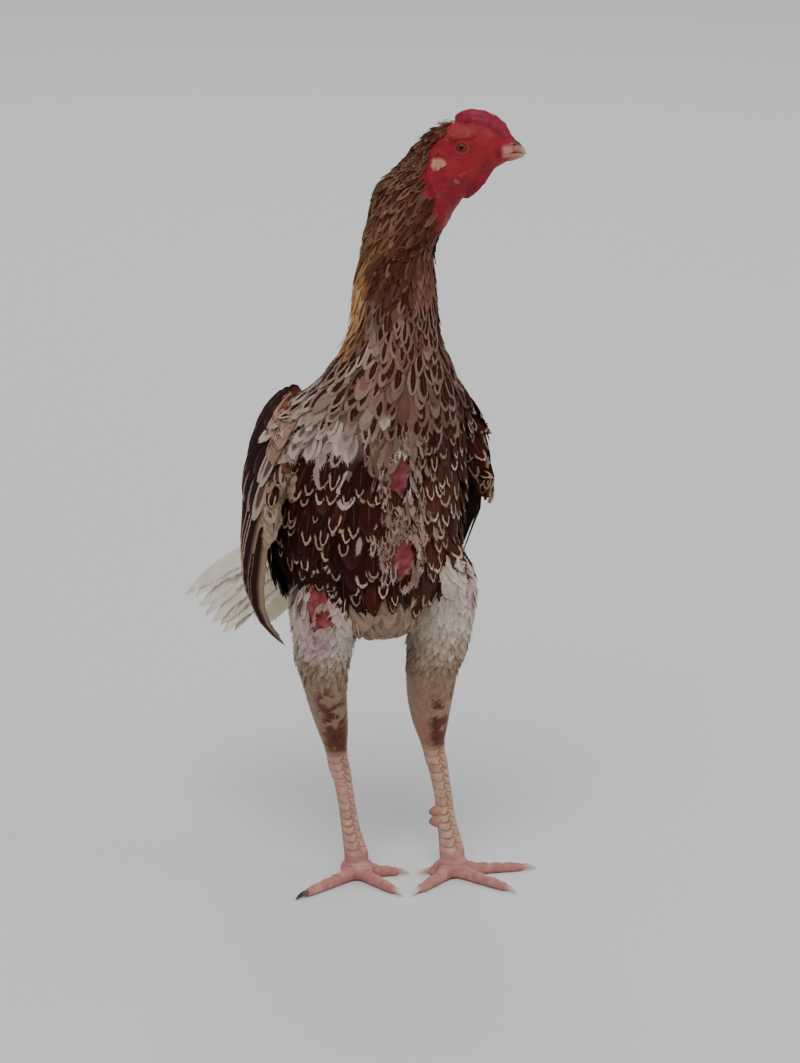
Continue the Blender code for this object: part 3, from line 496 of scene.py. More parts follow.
# Part of the length and share of the half width, for each kind of blade.
BLADES = {
    "broad": ((0.0, 0.16), (0.12, 0.48), (0.3, 0.84), (0.52, 1.0), (0.74, 0.97), (0.88, 0.74), (0.965, 0.4)),
    "oval": ((0.0, 0.16), (0.14, 0.5), (0.34, 0.86), (0.56, 1.0), (0.76, 0.86), (0.9, 0.55), (0.97, 0.28)),
    "lance": ((0.0, 0.2), (0.14, 0.6), (0.34, 0.95), (0.56, 1.0), (0.76, 0.78), (0.9, 0.44), (0.97, 0.18)),
}
QUILL_THICK = 0.5
LARGE_QUILL_THICK = 0.6
SHARP_ANGLE = math.radians(50.0)
# The size on the OFBake map of one feather.
BAKE_PATCH = 0.003


class Coat:
    """Feathers gathered for one piece: their points and faces, and their colours at each point."""

    def __init__(self, name):
        self.name = name
        self.points = []
        self.faces = []
        self.vane = []
        self.bake = []
        self.centre = []
        self.edge = []
        self.marking = []
        self.count = 0

    def store(self, points, faces, vane, root_uv, look):
        """Keeps one closed shape, with its places on the vane and on the map, and its colours."""
        self.points.append(points)
        self.faces += faces
        self.vane.append(vane)
        self.bake.append(np.asarray(root_uv) + (vane - 0.5) * BAKE_PATCH)
        for layer, value in zip((self.centre, self.edge, self.marking), look):
            value = np.asarray(value, float)
            layer.append(np.broadcast_to(value, (len(points), value.shape[-1])))
        self.count += len(points)

    def add(self, centres, sides, ups, halves, stations, root_uv, look, camber=0.14, columns=1,
            thick=QUILL_THICK, fringe=0, fray=2.0, skew=0.0):
        """One feather through its stations. columns is the number of faces on each half.

        look holds the colour of the middle, of the margin, the marking and, if there
        is a fourth, the colour of the middle on the feather's first side."""
        steps = len(centres)
        across = np.linspace(-1.0, 1.0, 2 * columns + 1)
        lift = 1.0 - across**2
        tops = (
            centres[:, None, :]
            + sides[:, None, :] * (across[None, :, None] * halves[:, None, None])
            + ups[:, None, :] * (camber * halves[:, None, None] * (lift[None, :, None] - 0.6))
        )
        bottoms = tops[:, 1:-1] - ups[:, None, :] * (thick * (lift[1:-1])[None, :, None])
        row = np.concatenate([tops, bottoms[:, ::-1]], 1)
        width = row.shape[1]
        tip = centres[-1] + (centres[-1] - centres[-2]) * 0.35
        share = np.concatenate([across, across[1:-1][::-1]]) * 0.5 + 0.5
        vane = np.empty((steps, width, 2))
        vane[:, :, 0] = np.clip(share + skew, 0.0, 1.0)[None, :]
        vane[:, :, 1] = np.asarray(stations)[:, None]
        vane = np.concatenate([vane.reshape(-1, 2), [[0.5, 1.0]]])
        middle = look[0]
        if len(look) > 3:
            middle = mix(look[0], look[3], smooth(0.0, -0.45, 2.0 * vane[:, :1] - 1.0))
        self.store(np.concatenate([row.reshape(-1, 3), [tip]]), pointed_faces(steps, width, self.count), vane,
                   root_uv, (middle, look[1], look[2]))
        if fringe:
            self.add_fringe(centres, sides, ups, halves, stations, root_uv, look, fringe, fray)

    def add_fringe(self, centres, sides, ups, halves, along, root_uv, look, fringe, fray):
        """Loose barbs that stand out from the margin towards the tip."""
        for index in range(fringe):
            side = -1.0 if index % 2 else 1.0
            part = 0.45 + 0.54 * rng.random() ** 0.7
            spot = np.array([np.interp(part, along, centres[:, axis]) for axis in range(3)])
            half = np.interp(part, along, halves) * 0.86
            low = min(len(along) - 2, max(0, int(np.searchsorted(along, part)) - 1))
            run = unit(centres[low + 1] - centres[low])
            beside = sides[low]
            up = ups[low]
            reach = rng.random() if part > 0.9 else 1.0
            base = spot + beside * side * half * reach
            lean = math.radians(18.0 + 38.0 * (1.0 - part) / 0.55) * reach
            way = run * math.cos(lean) + beside * side * math.sin(lean) + up * rng.normal(0.0, 0.10)
            length = fray * (0.6 + 0.8 * rng.random())
            wide = 0.32 + 0.16 * rng.random()
            flat = np.cross(way, up)
            self.spike(base - way * 0.8, way * (length + 0.8), flat * wide, up * 0.16, root_uv, look, part,
                       side)

    def spike(self, base, way, flat, up, root_uv, look, part, side):
        """A fine closed point."""
        across = 0.5 + 0.47 * side
        vane = np.array(((across, part), (across, part), (across, part), (across, min(part + 0.05, 1.0))))
        middle = look[3] if len(look) > 3 and side < 0 else look[0]
        a, b, c, d = range(self.count, self.count + 4)
        self.store(np.array((base - flat, base + flat, base - up, base + way)),
                   [(a, b, c), (b, a, d), (c, b, d), (a, c, d)], vane, root_uv, (middle, look[1], look[2]))

    def strand(self, tree, root, direction, length, wide, rise, colour, root_uv, lift=0.0):
        """One fine thread of down over a surface."""
        stations = np.array((0.0, 0.3, 0.62, 0.86))
        centres, normals, runs = walk(tree, root, direction, length, stations, 0.4)
        centres = centres + normals * (lift + rise * stations**1.4)[:, None]
        sides = np.cross(runs, normals)
        widths = wide * np.array((0.7, 1.0, 0.8, 0.45))
        rows = np.stack([
            centres - sides * widths[:, None],
            centres + sides * widths[:, None],
            centres + normals * (0.5 * widths)[:, None],
        ], 1)
        tip = centres[-1] + (centres[-1] - centres[-2]) * 0.6
        vane = np.stack([np.tile((0.3, 0.7, 0.5), 4), np.repeat(stations, 3)], -1)
        vane = np.concatenate([vane, [[0.5, 1.0]]])
        self.store(np.concatenate([rows.reshape(-1, 3), [tip]]), pointed_faces(4, 3, self.count), vane,
                   root_uv, (colour, colour, (0.1, 0.1, 0.5, 0.5)))

    def build(self, slot, *replaced):
        """Makes the piece, riding on the bird."""
        made = mesh_object(self.name, np.concatenate(self.points), self.faces)
        loops = np.empty(len(made.data.loops), dtype=np.int32)
        made.data.loops.foreach_get("vertex_index", loops)
        for layer, values in (("Vane", self.vane), ("OFBake", self.bake)):
            uv = made.data.uv_layers.new(name=layer)
            uv.data.foreach_set("uv", np.concatenate(values)[loops].astype(np.float32).ravel())
        for layer, values in (("Centre", self.centre), ("Edge", self.edge), ("Marking", self.marking)):
            paint(made, layer, np.concatenate(values))
        made.data.set_sharp_from_angle(angle=SHARP_ANGLE)
        dress(made, FEATHERS, slot, *replaced)


def walk(tree, root, direction, length, stations, follow=0.55):
    """Points along the surface from a root, their normals and directions, for a stiff feather."""
    spot, normal, _, _ = tree.find_nearest(Vector(root))
    d = Vector(direction)
    d = (d - normal * d.dot(normal)).normalized()
    centres = [spot]
    normals = [normal]
    runs = [d]
    previous = 0.0
    for share in stations[1:]:
        step = (share - previous) * length
        previous = share
        ahead = spot + d * step
        hit, hit_normal, _, _ = tree.find_nearest(ahead)
        height = (ahead - hit).dot(hit_normal)
        if height < 0:
            ahead = hit
        else:
            ahead = ahead - hit_normal * min(height, follow * step)
        run = ahead - spot
        if run.length < 1e-6:
            run = d.copy()
        d = run.normalized()
        spot = spot + d * step
        normal = normal * 0.4 + hit_normal * 0.6
        normal = (normal - d * normal.dot(d)).normalized()
        centres.append(spot)
        normals.append(normal)
        runs.append(d)
    return np.array(centres), np.array(normals), np.array(runs)


def lay(coat, tree, root, direction, length, half, blade, rise, look, root_uv, sunk=1.0, curl=0.0,
        camber=0.14, roll=0.0, follow=0.55, base=0.0, fringe=0, fray=2.0, skew=0.0):
    """A feather laid on a surface, its tip standing off by rise."""
    table = np.array(BLADES[blade])
    stations = table[:, 0]
    centres, normals, runs = walk(tree, root, direction, length, stations, follow)
    sides = np.cross(runs, normals)
    if roll:
        sides = unit(sides + normals * roll)
        normals = unit(np.cross(sides, runs))
    stand = base - sunk * (1.0 - smooth(0.0, 0.3, stations)) + rise * stations + curl * stations**3
    centres = centres + normals * stand[:, None]
    jitter = 1.0 + rng.normal(0.0, 0.05, len(stations))
    coat.add(centres, sides, normals, half * table[:, 1] * jitter, stations, root_uv, look, camber,
             fringe=fringe, fray=fray, skew=skew)


# Unwraps of the skin's own shape: one upright band for each form

def trunk_uv(z, angle):
    return np.array((0.02 + 0.5 * ((angle + 180.0) % 360.0) / 360.0, 0.05 + 0.9 * (z - 200.0) / 480.0))


def thigh_uv(key, z, angle):
    left = 0.56 if key == "r" else 0.68
    return np.array((left + 0.1 * (angle % 360.0) / 360.0, 0.05 + 0.5 * (z - 90.0) / 220.0))


def wing_uv(side, y, z):
    left = 0.56 if side < 0 else 0.78
    return np.array((left + 0.18 * (y + 10.0) / 130.0, 0.6 + 0.36 * (z - 190.0) / 250.0))


def tail_uv(side, along, up):
    left = 0.82 if side < 0 else 0.91
    return np.array((left + 0.07 * (along + 40.0) / 240.0, 0.05 + 0.4 * (up + 60.0) / 120.0))


# Markings

def speckle(point, scale, seed=0.0):
    """Smooth noise from -1 to 1 at a point in millimetres."""
    place = (point[0] / scale + seed, point[1] / scale - seed, point[2] / scale + 2 * seed)
    return noise.noise(Vector(place))


def speckles(points, scale, seed):
    """The same noise at many points."""
    return np.array([speckle(point, scale, seed) for point in points])


# Bare red patches: height, angle, half height and half angle.
BARE_PATCHES = ((365.0, -2.0, 21.0, 7.0), (293.0, 2.0, 20.0, 8.0))
THIGH_PATCHES = {
    "r": ((254.0, -44.0, 32.0, 22.0), (240.0, -31.0, 12.0, 16.0)),
    "l": ((270.0, 20.0, 7.0, 7.0),),
}


def bare_share(z, angle, patches):
    """How bare the skin is at a height and angle, from 0 to 1."""
    spot = np.array((z, angle, 0.0))
    z = z + 4.0 * speckle(spot, 9.0, 3.0) + 3.0 * speckle(spot, 3.2, 1.0)
    angle = angle + 3.0 * speckle(spot, 7.0, 5.0) + 1.2 * speckle(spot, 2.6, 4.0)
    nearest = 9.0
    for middle, turn, tall, wide in patches:
        away = abs((z - middle) / tall) ** 1.5 + abs(wrapped(angle - turn) / wide) ** 1.5
        nearest = min(nearest, away)
    return float(smooth(1.15, 0.85, nearest))


# The lower edge of the dark neck feathers, by angle from the front.
CAPE_EDGE = ((0.0, 524.0), (34.0, 522.0), (52.0, 506.0), (70.0, 493.0), (106.0, 470.0), (150.0, 458.0),
             (180.0, 456.0))
# Where cream gives way to laced maroon, by angle to the bird's left.
DARK_EDGE = ((-180.0, 404.0), (-125.0, 398.0), (-95.0, 386.0), (-60.0, 384.0), (-16.0, 386.0), (8.0, 394.0),
             (30.0, 404.0), (46.0, 412.0), (65.0, 428.0), (100.0, 424.0), (180.0, 404.0))


def shaded(colour, share):
    return np.asarray(colour) * share


def hackle_look(z, rear):
    """Neck feathers: dark streaks in umber, golden at the rear."""
    gold = float(smooth(72.0, 104.0, rear) * smooth(590.0, 520.0, z))
    low = float(smooth(560.0, 500.0, z)) * (1.0 - gold)
    lot = rng.random()
    centre = mix(HACKLE, MAROON, 0.7 * rng.random())
    edge = mix(UMBER, (0.165, 0.068, 0.040), lot * lot)
    edge = mix(edge, mix(GOLD, STRAW, rng.random() ** 2), gold * (0.35 + 0.65 * rng.random()))
    edge = mix(edge, shaded(CREAM_PINK, 0.6), 0.6 * low * rng.random())
    centre = mix(centre, shaded(GOLD, 0.45), 0.5 * gold * rng.random())
    kind = rng.random()
    if kind < 0.25 * (1.0 - gold):
        edge = mix(centre, edge, 0.4)
    elif kind > 1.0 - 0.2 * (1.0 - gold):
        centre = mix(edge, centre, 0.35)
    nape = float(smooth(60.0, 95.0, rear) * band(z, 545.0, 575.0, 640.0, 618.0))
    edge = mix(edge, (0.31, 0.18, 0.105), 0.6 * nape * rng.random())
    if rng.random() < 0.08:
        edge = mix(edge, (0.28, 0.165, 0.125), 0.6)
    crown = float(smooth(596.0, 622.0, z))
    if rng.random() < 0.35 * crown:
        edge = mix(edge, (0.17, 0.095, 0.058), 0.7)
    return centre, edge, (0.42 + 0.22 * rng.random(), 0.12 + 0.16 * lot, 0.75, -0.1)


def cream_look(z, turned):
    """Pale feathers of the lower neck and upper breast, most with one long dark spot."""
    lot = rng.random()
    left_chest = float(smooth(-14.0, -34.0, turned) * smooth(440.0, 420.0, z) * smooth(-120.0, -95.0, turned))
    shoulder = float(smooth(-40.0, -70.0, turned) * smooth(400.0, 425.0, z))
    right_chest = float(smooth(12.0, 36.0, turned))
    edge = mix((0.275, 0.165, 0.130), (0.13, 0.060, 0.044), rng.random() ** 1.1)
    edge = mix(edge, shaded(CREAM, 0.85), (0.25 + 0.65 * lot) * max(left_chest, 0.8 * shoulder))
    centre = shaded(mix(SPOT, MAROON, 0.6 * rng.random()), 0.8 + 0.4 * rng.random())
    if rng.random() < 0.85 * left_chest:
        dull = mix((0.10, 0.048, 0.036), (0.36, 0.27, 0.225), rng.random() ** 0.8)
        pale = mix((0.30, 0.205, 0.165), (0.52, 0.415, 0.35), rng.random())
        return dull, pale, (0.45 + 0.25 * rng.random(), 0.16 + 0.2 * rng.random(), 0.7, -0.2)
    if rng.random() < 0.3 * right_chest * smooth(455.0, 430.0, z):
        return centre, mix(centre, edge, 0.3), (0.2, 0.1, 0.2, 0.0)
    if rng.random() < 0.09 * (1.0 - right_chest):
        return mix(edge, (0.16, 0.065, 0.042), 0.7 * rng.random()), edge, (0.34, 0.3, 0.5, 0.0)
    kind = rng.random()
    if kind < 0.08:
        edge = shaded(edge, 0.85)
        return mix(centre, edge, 0.75), edge, (0.5, 0.25, 0.8, -0.3)
    if kind > 0.88:
        edge = mix(centre, edge, 0.45)
    left_ground = 0.14 * float(smooth(10.0, -20.0, turned))
    return centre, edge, (0.37 + 0.20 * lot + 0.6 * left_ground, 0.08 + 0.10 * rng.random(), 0.42, -0.4)


def laced_look(z, turned):
    """Maroon feathers, each with a narrow cream lace round its end."""
    lot = rng.random()
    centre = mix(MAROON, MAROON_WARM, rng.random() ** 2.2)
    near_black = smooth(-8.0, -30.0, turned) * smooth(352.0, 325.0, z) * smooth(-100.0, -80.0, turned)
    centre = shaded(centre, 1.0 - 0.4 * near_black)
    edge = shaded(mix(CREAM, BUFF, 0.2 + 0.5 * rng.random()), 0.44 + 0.42 * lot)
    belly = smooth(283.0, 262.0, z + 4.0 * rng.normal() + 12.0 * smooth(6.0, -20.0, turned))
    belly *= smooth(84.0, 58.0, abs(turned))
    if rng.random() < belly:
        colour = shaded(mix((0.27, 0.165, 0.105), (0.22, 0.135, 0.095), rng.random()), 0.7 + 0.5 * lot)
        return colour, mix(colour, CREAM, 0.2), (0.3, 0.3, 0.5, 0.0)
    right_side = float(band(turned, 8.0, 22.0, 80.0, 66.0))
    centre = mix(centre, (0.085, 0.032, 0.022), 0.6 * right_side * rng.random())
    edge = edge * (1.0 + 0.15 * right_side)
    plain = 0.12 - 0.08 * right_side + 0.42 * near_black + 0.3 * smooth(105.0, 150.0, abs(turned))
    if rng.random() < plain:
        return centre, mix(centre, edge, 0.03), (0.2, 0.12, 0.3, 0.5)
    side = 0.50 + 0.16 * rng.random()
    tip = 0.085 + 0.06 * rng.random()
    return centre, edge, (side, tip, 1.15 + 0.2 * rng.random(), 0.46 + 0.26 * rng.random())


def back_look(z):
    """Feathers of the back and saddle: dull gold laces among plain ones."""
    lot = rng.random()
    centre = mix(MAROON_WARM, MAROON, lot)
    edge = shaded(mix(GOLD, BUFF, rng.random()), 0.35 + 0.35 * rng.random())
    high = float(smooth(360.0, 440.0, z))
    if rng.random() < 0.35:
        return centre, mix(centre, edge, 0.35), (0.25, 0.2, 0.5, 0.2)
    if rng.random() < 0.5 * (1.0 - high):
        return centre, edge, (0.50 + 0.1 * lot, 0.12, 1.25, 0.5)
    return centre, edge, (0.22 + 0.2 * lot, 0.10 + 0.1 * rng.random(), 0.4, 0.2)


def trunk_look(point, angle, z):
    """Colours and marking of a feather of the neck or body."""
    turned = wrapped(angle)
    rear = abs(turned)
    wobble = speckle(point, 22.0, 1.0)
    cape = cubic_rows(CAPE_EDGE, rear)[0]
    if rng.random() < smooth(-5.0, 5.0, z - cape - 5.0 * wobble):
        centre, edge, marking = hackle_look(z, rear)
        # The front of the neck below the face is painted a lighter brown. This is partly the real colour of
        # its feathers and partly painted light where the head shades them.
        front = float(band(turned, -20.0, 0.0, 75.0, 50.0) * smooth(505.0, 525.0, z))
        centre = mix(centre, (0.13, 0.050, 0.034), 0.7 * front)
        return centre, mix(edge, (0.24, 0.11, 0.08), 0.5 * front), marking
    dark = cubic_rows(DARK_EDGE, turned)[0]
    if rear > 128.0 and z < cape:
        return back_look(z)
    if rng.random() > smooth(13.0, -13.0, z - dark - 17.0 * wobble):
        return cream_look(z, turned)
    return laced_look(z, turned)


def thigh_look(key, point, angle, z):
    """Colours of a thigh's soft pale feathers."""
    centre = shaded(mix(WHITE, CREAM, rng.random()), 0.78 + 0.34 * rng.random())
    low = float(smooth(236.0, 190.0, z + 9.0 * speckle(point, 14.0, 3.0)))
    centre = mix(centre, (0.27, 0.165, 0.105), 0.9 * low)
    shade = float(np.clip(0.35 + 1.2 * speckle(point, 13.0, 8.0), 0.0, 1.0))
    centre = mix(centre, (0.30, 0.235, 0.19), 0.42 * shade)
    nearest = min(
        ((z - middle) / (1.5 * tall)) ** 2 + (wrapped(angle - turn) / (1.5 * wide)) ** 2
        for middle, turn, tall, wide in THIGH_PATCHES[key]
    )
    centre = mix(centre, (0.42, 0.24, 0.27), 0.75 * float(smooth(1.3, 0.6, nearest)))
    outer = abs(wrapped((angle if key == "l" else -angle) - 110.0))
    maroon = smooth(252.0, 276.0, z + 16.0 * speckle(point, 16.0, 5.0)) * smooth(75.0, 50.0, outer)
    if rng.random() < 0.85 * maroon:
        dark = mix(MAROON_WARM, (0.16, 0.09, 0.06), rng.random())
        return dark, mix(dark, centre, 0.7 * rng.random()), (0.4, 0.2, 0.6, 0.0)
    edge = mix(centre, (0.68, 0.60, 0.50), 0.4 * rng.random() * (1.0 - 0.8 * low))
    return centre, edge, (0.4, 0.3, 0.6, 0.0)


# Materials

def add_node(tree, kind, **settings):
    made = tree.nodes.new(kind)
    for key, value in settings.items():
        setattr(made, key, value)
    return made


def put(tree, value, socket):
    """Links an output, or sets a plain value, on a socket."""
    if isinstance(value, bpy.types.NodeSocket):
        tree.links.new(value, socket)
    else:
        socket.default_value = value


def maths(tree, operation, a, b=0.0, c=0.0, clamp=False):
    made = add_node(tree, "ShaderNodeMath", operation=operation, use_clamp=clamp)
    for socket, value in zip(made.inputs, (a, b, c)):
        put(tree, value, socket)
    return made.outputs[0]


def step_between(tree, value, low, high):
    made = add_node(tree, "ShaderNodeMapRange", interpolation_type="SMOOTHSTEP")
    put(tree, value, made.inputs["Value"])
    put(tree, low, made.inputs["From Min"])
    put(tree, high, made.inputs["From Max"])
    return made.outputs["Result"]


def blend_colours(tree, share, a, b, kind="MIX"):
    made = add_node(tree, "ShaderNodeMix", data_type="RGBA", blend_type=kind)
    put(tree, share, made.inputs["Factor"])
    put(tree, a, made.inputs["A"])
    put(tree, b, made.inputs["B"])
    return made.outputs["Result"]


def attribute(tree, name):
    made = add_node(tree, "ShaderNodeAttribute", attribute_name=name)
    return made.outputs["Color"], made.outputs["Alpha"]


def new_material(name):
    made = bpy.data.materials.new(name)
    made.use_nodes = True
    tree = made.node_tree
    return made, tree, tree.nodes["Principled BSDF"]


def noise_node(tree, scale, detail, vector):
    made = add_node(tree, "ShaderNodeTexNoise")
    feed(tree, made, {"Scale": scale, "Detail": detail, "Roughness": 0.55, "Vector": vector})
    return made.outputs["Fac"]


def feed(tree, node, values):
    """Links or sets inputs of a node by their names."""
    for name, value in values.items():
        put(tree, value, node.inputs[name])


def shaded_by(tree, colour, shade):
    """A colour times a grey value."""
    grey = add_node(tree, "ShaderNodeCombineColor")
    for socket in grey.inputs[:3]:
        tree.links.new(shade, socket)
    return blend_colours(tree, 1.0, colour, grey.outputs[0], "MULTIPLY")


def mottled_tone(tree, scale, detail, gain, base):
    """The surface's own tone under a soft grain, and the place that the grain is drawn from."""
    place = add_node(tree, "ShaderNodeTexCoord").outputs["Object"]
    tone, _ = attribute(tree, "Tone")
    mottle = maths(tree, "MULTIPLY_ADD", noise_node(tree, scale, detail, place), gain, base)
    return shaded_by(tree, tone, mottle), place


def bump_normal(tree, height, distance):
    made = add_node(tree, "ShaderNodeBump")
    feed(tree, made, {"Strength": 0.35, "Distance": distance, "Height": height})
    return made.outputs["Normal"]


def feather_material():
    """Barbs, shaft and a marking round each feather's margin."""
    made, tree, shader = new_material("feathers")
    uv = add_node(tree, "ShaderNodeUVMap", uv_map="Vane")
    parts = add_node(tree, "ShaderNodeSeparateXYZ")
    tree.links.new(uv.outputs["UV"], parts.inputs[0])
    u, v = parts.outputs["X"], parts.outputs["Y"]
    across = maths(tree, "ABSOLUTE", maths(tree, "MULTIPLY_ADD", u, 2.0, -1.0))
    marking, start = attribute(tree, "Marking")
    numbers = add_node(tree, "ShaderNodeSeparateColor")
    tree.links.new(marking, numbers.inputs[0])
    side, tip = numbers.outputs[0], numbers.outputs[1]
    # A softness over 1 marks a lace that lies a little inside the margin.
    inset = maths(tree, "GREATER_THAN", numbers.outputs[2], 1.0)
    soft = maths(tree, "SUBTRACT", numbers.outputs[2], inset)
    place = add_node(tree, "ShaderNodeTexCoord").outputs["Object"]
    # Barbs run outwards and towards the tip, in small uneven bundles.
    bundle = noise_node(tree, 260.0, 2.0, place)
    barb = maths(tree, "MULTIPLY_ADD", across, -0.22, v)
    phase = maths(tree, "MULTIPLY_ADD", bundle, 4.0, maths(tree, "MULTIPLY", barb, 150.0))
    stripes = maths(tree, "MULTIPLY_ADD", maths(tree, "SINE", phase), 0.5, 0.5)
    # Distance from the middle of the marking, 1 at its rim.
    ragged = maths(tree, "MULTIPLY_ADD", noise_node(tree, 420.0, 2.0, place), 0.9, -0.45)
    begins = step_between(tree, v, start, maths(tree, "ADD", start, 0.14))
    bend = maths(tree, "MULTIPLY_ADD", inset, 1.2, 2.4)
    wide = maths(tree, "POWER", maths(tree, "DIVIDE", across, maths(tree, "SUBTRACT", 1.0, side)), bend)
    base = maths(tree, "MULTIPLY_ADD", inset, 0.22, 0.5)
    beyond = maths(tree, "MAXIMUM", maths(tree, "SUBTRACT", v, base), 0.0)
    room = maths(tree, "SUBTRACT", maths(tree, "SUBTRACT", 1.0, base), tip)
    long = maths(tree, "POWER", maths(tree, "DIVIDE", beyond, room), bend)
    rim = maths(tree, "ADD", maths(tree, "ADD", wide, long), ragged)
    low = maths(tree, "SUBTRACT", 1.0, soft)
    high = maths(tree, "ADD", 1.0, soft)
    share = step_between(tree, rim, low, high)
    share = maths(tree, "MULTIPLY", share, begins)
    past = maths(tree, "MULTIPLY", step_between(tree, rim, 4.0, 6.5), inset)
    share = maths(tree, "MULTIPLY", share, maths(tree, "SUBTRACT", 1.0, past))
    centre, _ = attribute(tree, "Centre")
    edge, _ = attribute(tree, "Edge")
    colour = blend_colours(tree, share, centre, edge)
    tone = maths(tree, "MULTIPLY_ADD", stripes, 0.22, 0.86)
    broad = maths(tree, "MULTIPLY_ADD", noise_node(tree, 60.0, 3.0, place), 0.5, 0.75)
    shade = maths(tree, "MULTIPLY", tone, broad)
    colour = shaded_by(tree, colour, shade)
    # The shaft is a fine paler line that fades towards the tip.
    shaft = maths(tree, "MULTIPLY", step_between(tree, across, 0.07, 0.02), step_between(tree, v, 0.85, 0.5))
    pale = blend_colours(tree, 0.35, colour, (0.5, 0.36, 0.25, 1.0))
    colour = blend_colours(tree, maths(tree, "MULTIPLY", shaft, 0.3), colour, pale)
    height = maths(tree, "ADD", stripes, maths(tree, "MULTIPLY", shaft, 2.0))
    feed(tree, shader, {"Base Color": colour, "Roughness": 0.75, "Specular IOR Level": 0.07,
                        "Normal": bump_normal(tree, height, 0.0004)})
    return made


def skin_material():
    """Bare skin: its colour comes with the surface, its grain from noise."""
    made, tree, shader = new_material("skin")
    colour, place = mottled_tone(tree, 140.0, 5.0, 0.7, 0.62)
    grains = add_node(tree, "ShaderNodeTexVoronoi")
    feed(tree, grains, {"Scale": 900.0, "Vector": place})
    feed(tree, shader, {
        "Base Color": colour,
        "Roughness": 0.5,
        "Specular IOR Level": 0.25,
        "Subsurface Weight": 0.12,
        "Subsurface Radius": (0.004, 0.0012, 0.0008),
        "Subsurface Scale": 1.0,
        "Normal": bump_normal(tree, grains.outputs["Distance"], 0.0003),
    })
    return made


def horn_material(name, roughness, coat, shine):
    """Smooth hard parts, coloured by their surface's own tone."""
    made, tree, shader = new_material(name)
    colour, _ = mottled_tone(tree, 300.0, 3.0, 0.3, 0.85)
    feed(tree, shader, {"Base Color": colour, "Roughness": roughness, "Specular IOR Level": 0.5 * shine,
                        "Coat Weight": coat, "Coat Roughness": 0.08})
    return made


FEATHERS = feather_material()
SKIN = skin_material()
HORN = horn_material("horn", 0.4, 0.1, 0.8)
EYE = horn_material("eye", 0.2, 0.04, 0.35)


# Coat of the body and neck

def trunk_directions(z, angle):
    """The lie of the feathers: down, and towards the rear on the sides and belly."""
    turned = wrapped(angle)
    back = 0.22 * smooth(20.0, 80.0, abs(turned)) * smooth(470.0, 400.0, z)
    back += 0.5 * smooth(262.0, 225.0, z)
    aside = 0.10 * math.sin(math.radians(turned)) * smooth(500.0, 440.0, z)
    spread = 0.35 * band(z, 445.0, 425.0, 475.0, 445.0)
    around = TRUNK.point(z - 6.0, angle) - TRUNK.point(z + 6.0, angle)
    d = unit(around) + np.array((aside, back, 0.0))
    if spread:
        d = d + np.array((0.0, 0.0, -spread))
    return unit(d)


def trunk_sizes(z, rear):
    """Spacing down and across, length and half width of the feathers at a height."""
    body = float(smooth(540.0, 420.0, z))
    full = float(smooth(420.0, 385.0, z))
    cape = float(smooth(560.0, 500.0, z) * smooth(60.0, 120.0, rear) * smooth(440.0, 462.0, z))
    top = float(smooth(575.0, 640.0, z))
    down = 6.0 + 3.0 * body + 1.0 * full - 2.0 * top
    across = 6.2 + 4.4 * body + 3.3 * full - 2.6 * top
    length = 22.0 + 5.0 * body + 5.0 * full + 12.0 * cape - 11.0 * top
    half = 3.4 + 2.5 * body + 1.7 * full - 1.3 * top
    return down, across, length, half


THROAT_END = 560.0


def bare_face(point):
    """True where the face and throat carry no feathers."""
    return point[2] > THROAT_END and face_margin(point) > 1.0 + 1.5 * speckle(point, 3.0, 2.0)


def patch_foot(z, angle, patches):
    """The height just under the bare patch at a place in it."""
    while bare_share(z, angle, patches) > 0.4:
        z -= 2.0
    return z


def clear_share(z, angle, length, patches):
    """The share of a feather's length that ends at the rim of a bare patch."""
    if all(abs(wrapped(angle - turn)) > 2.0 * wide + 4.0 for _, turn, _, wide in patches):
        return 1.0
    for part in (0.0, 0.15, 0.3, 0.45, 0.6, 0.75, 0.9):
        if bare_share(z - part * length, angle, patches) > 0.5:
            return part * rng.uniform(0.9, 1.3)
    return 1.0


# Behind this place along the body a wing lies over the shoulder's feathers.
WING_FRONT = 17.0


def pierces_wing(tip):
    """True where a shoulder feather's end would come out through a wing."""
    side = 1 if tip[0] > BODY_X else -1
    wing = wing_surface(side, tip[1], tip[2])
    return tip[1] > WING_FRONT and side * (tip[0] - wing[0]) > -3.0


# The pieces of the trunk's plumage and the height at which each starts.
TRUNK_COATS = (("coat_neck", 653.0), ("coat_breast", 470.0), ("coat_belly", 350.0))
TRUNK_COAT_END = 220.0


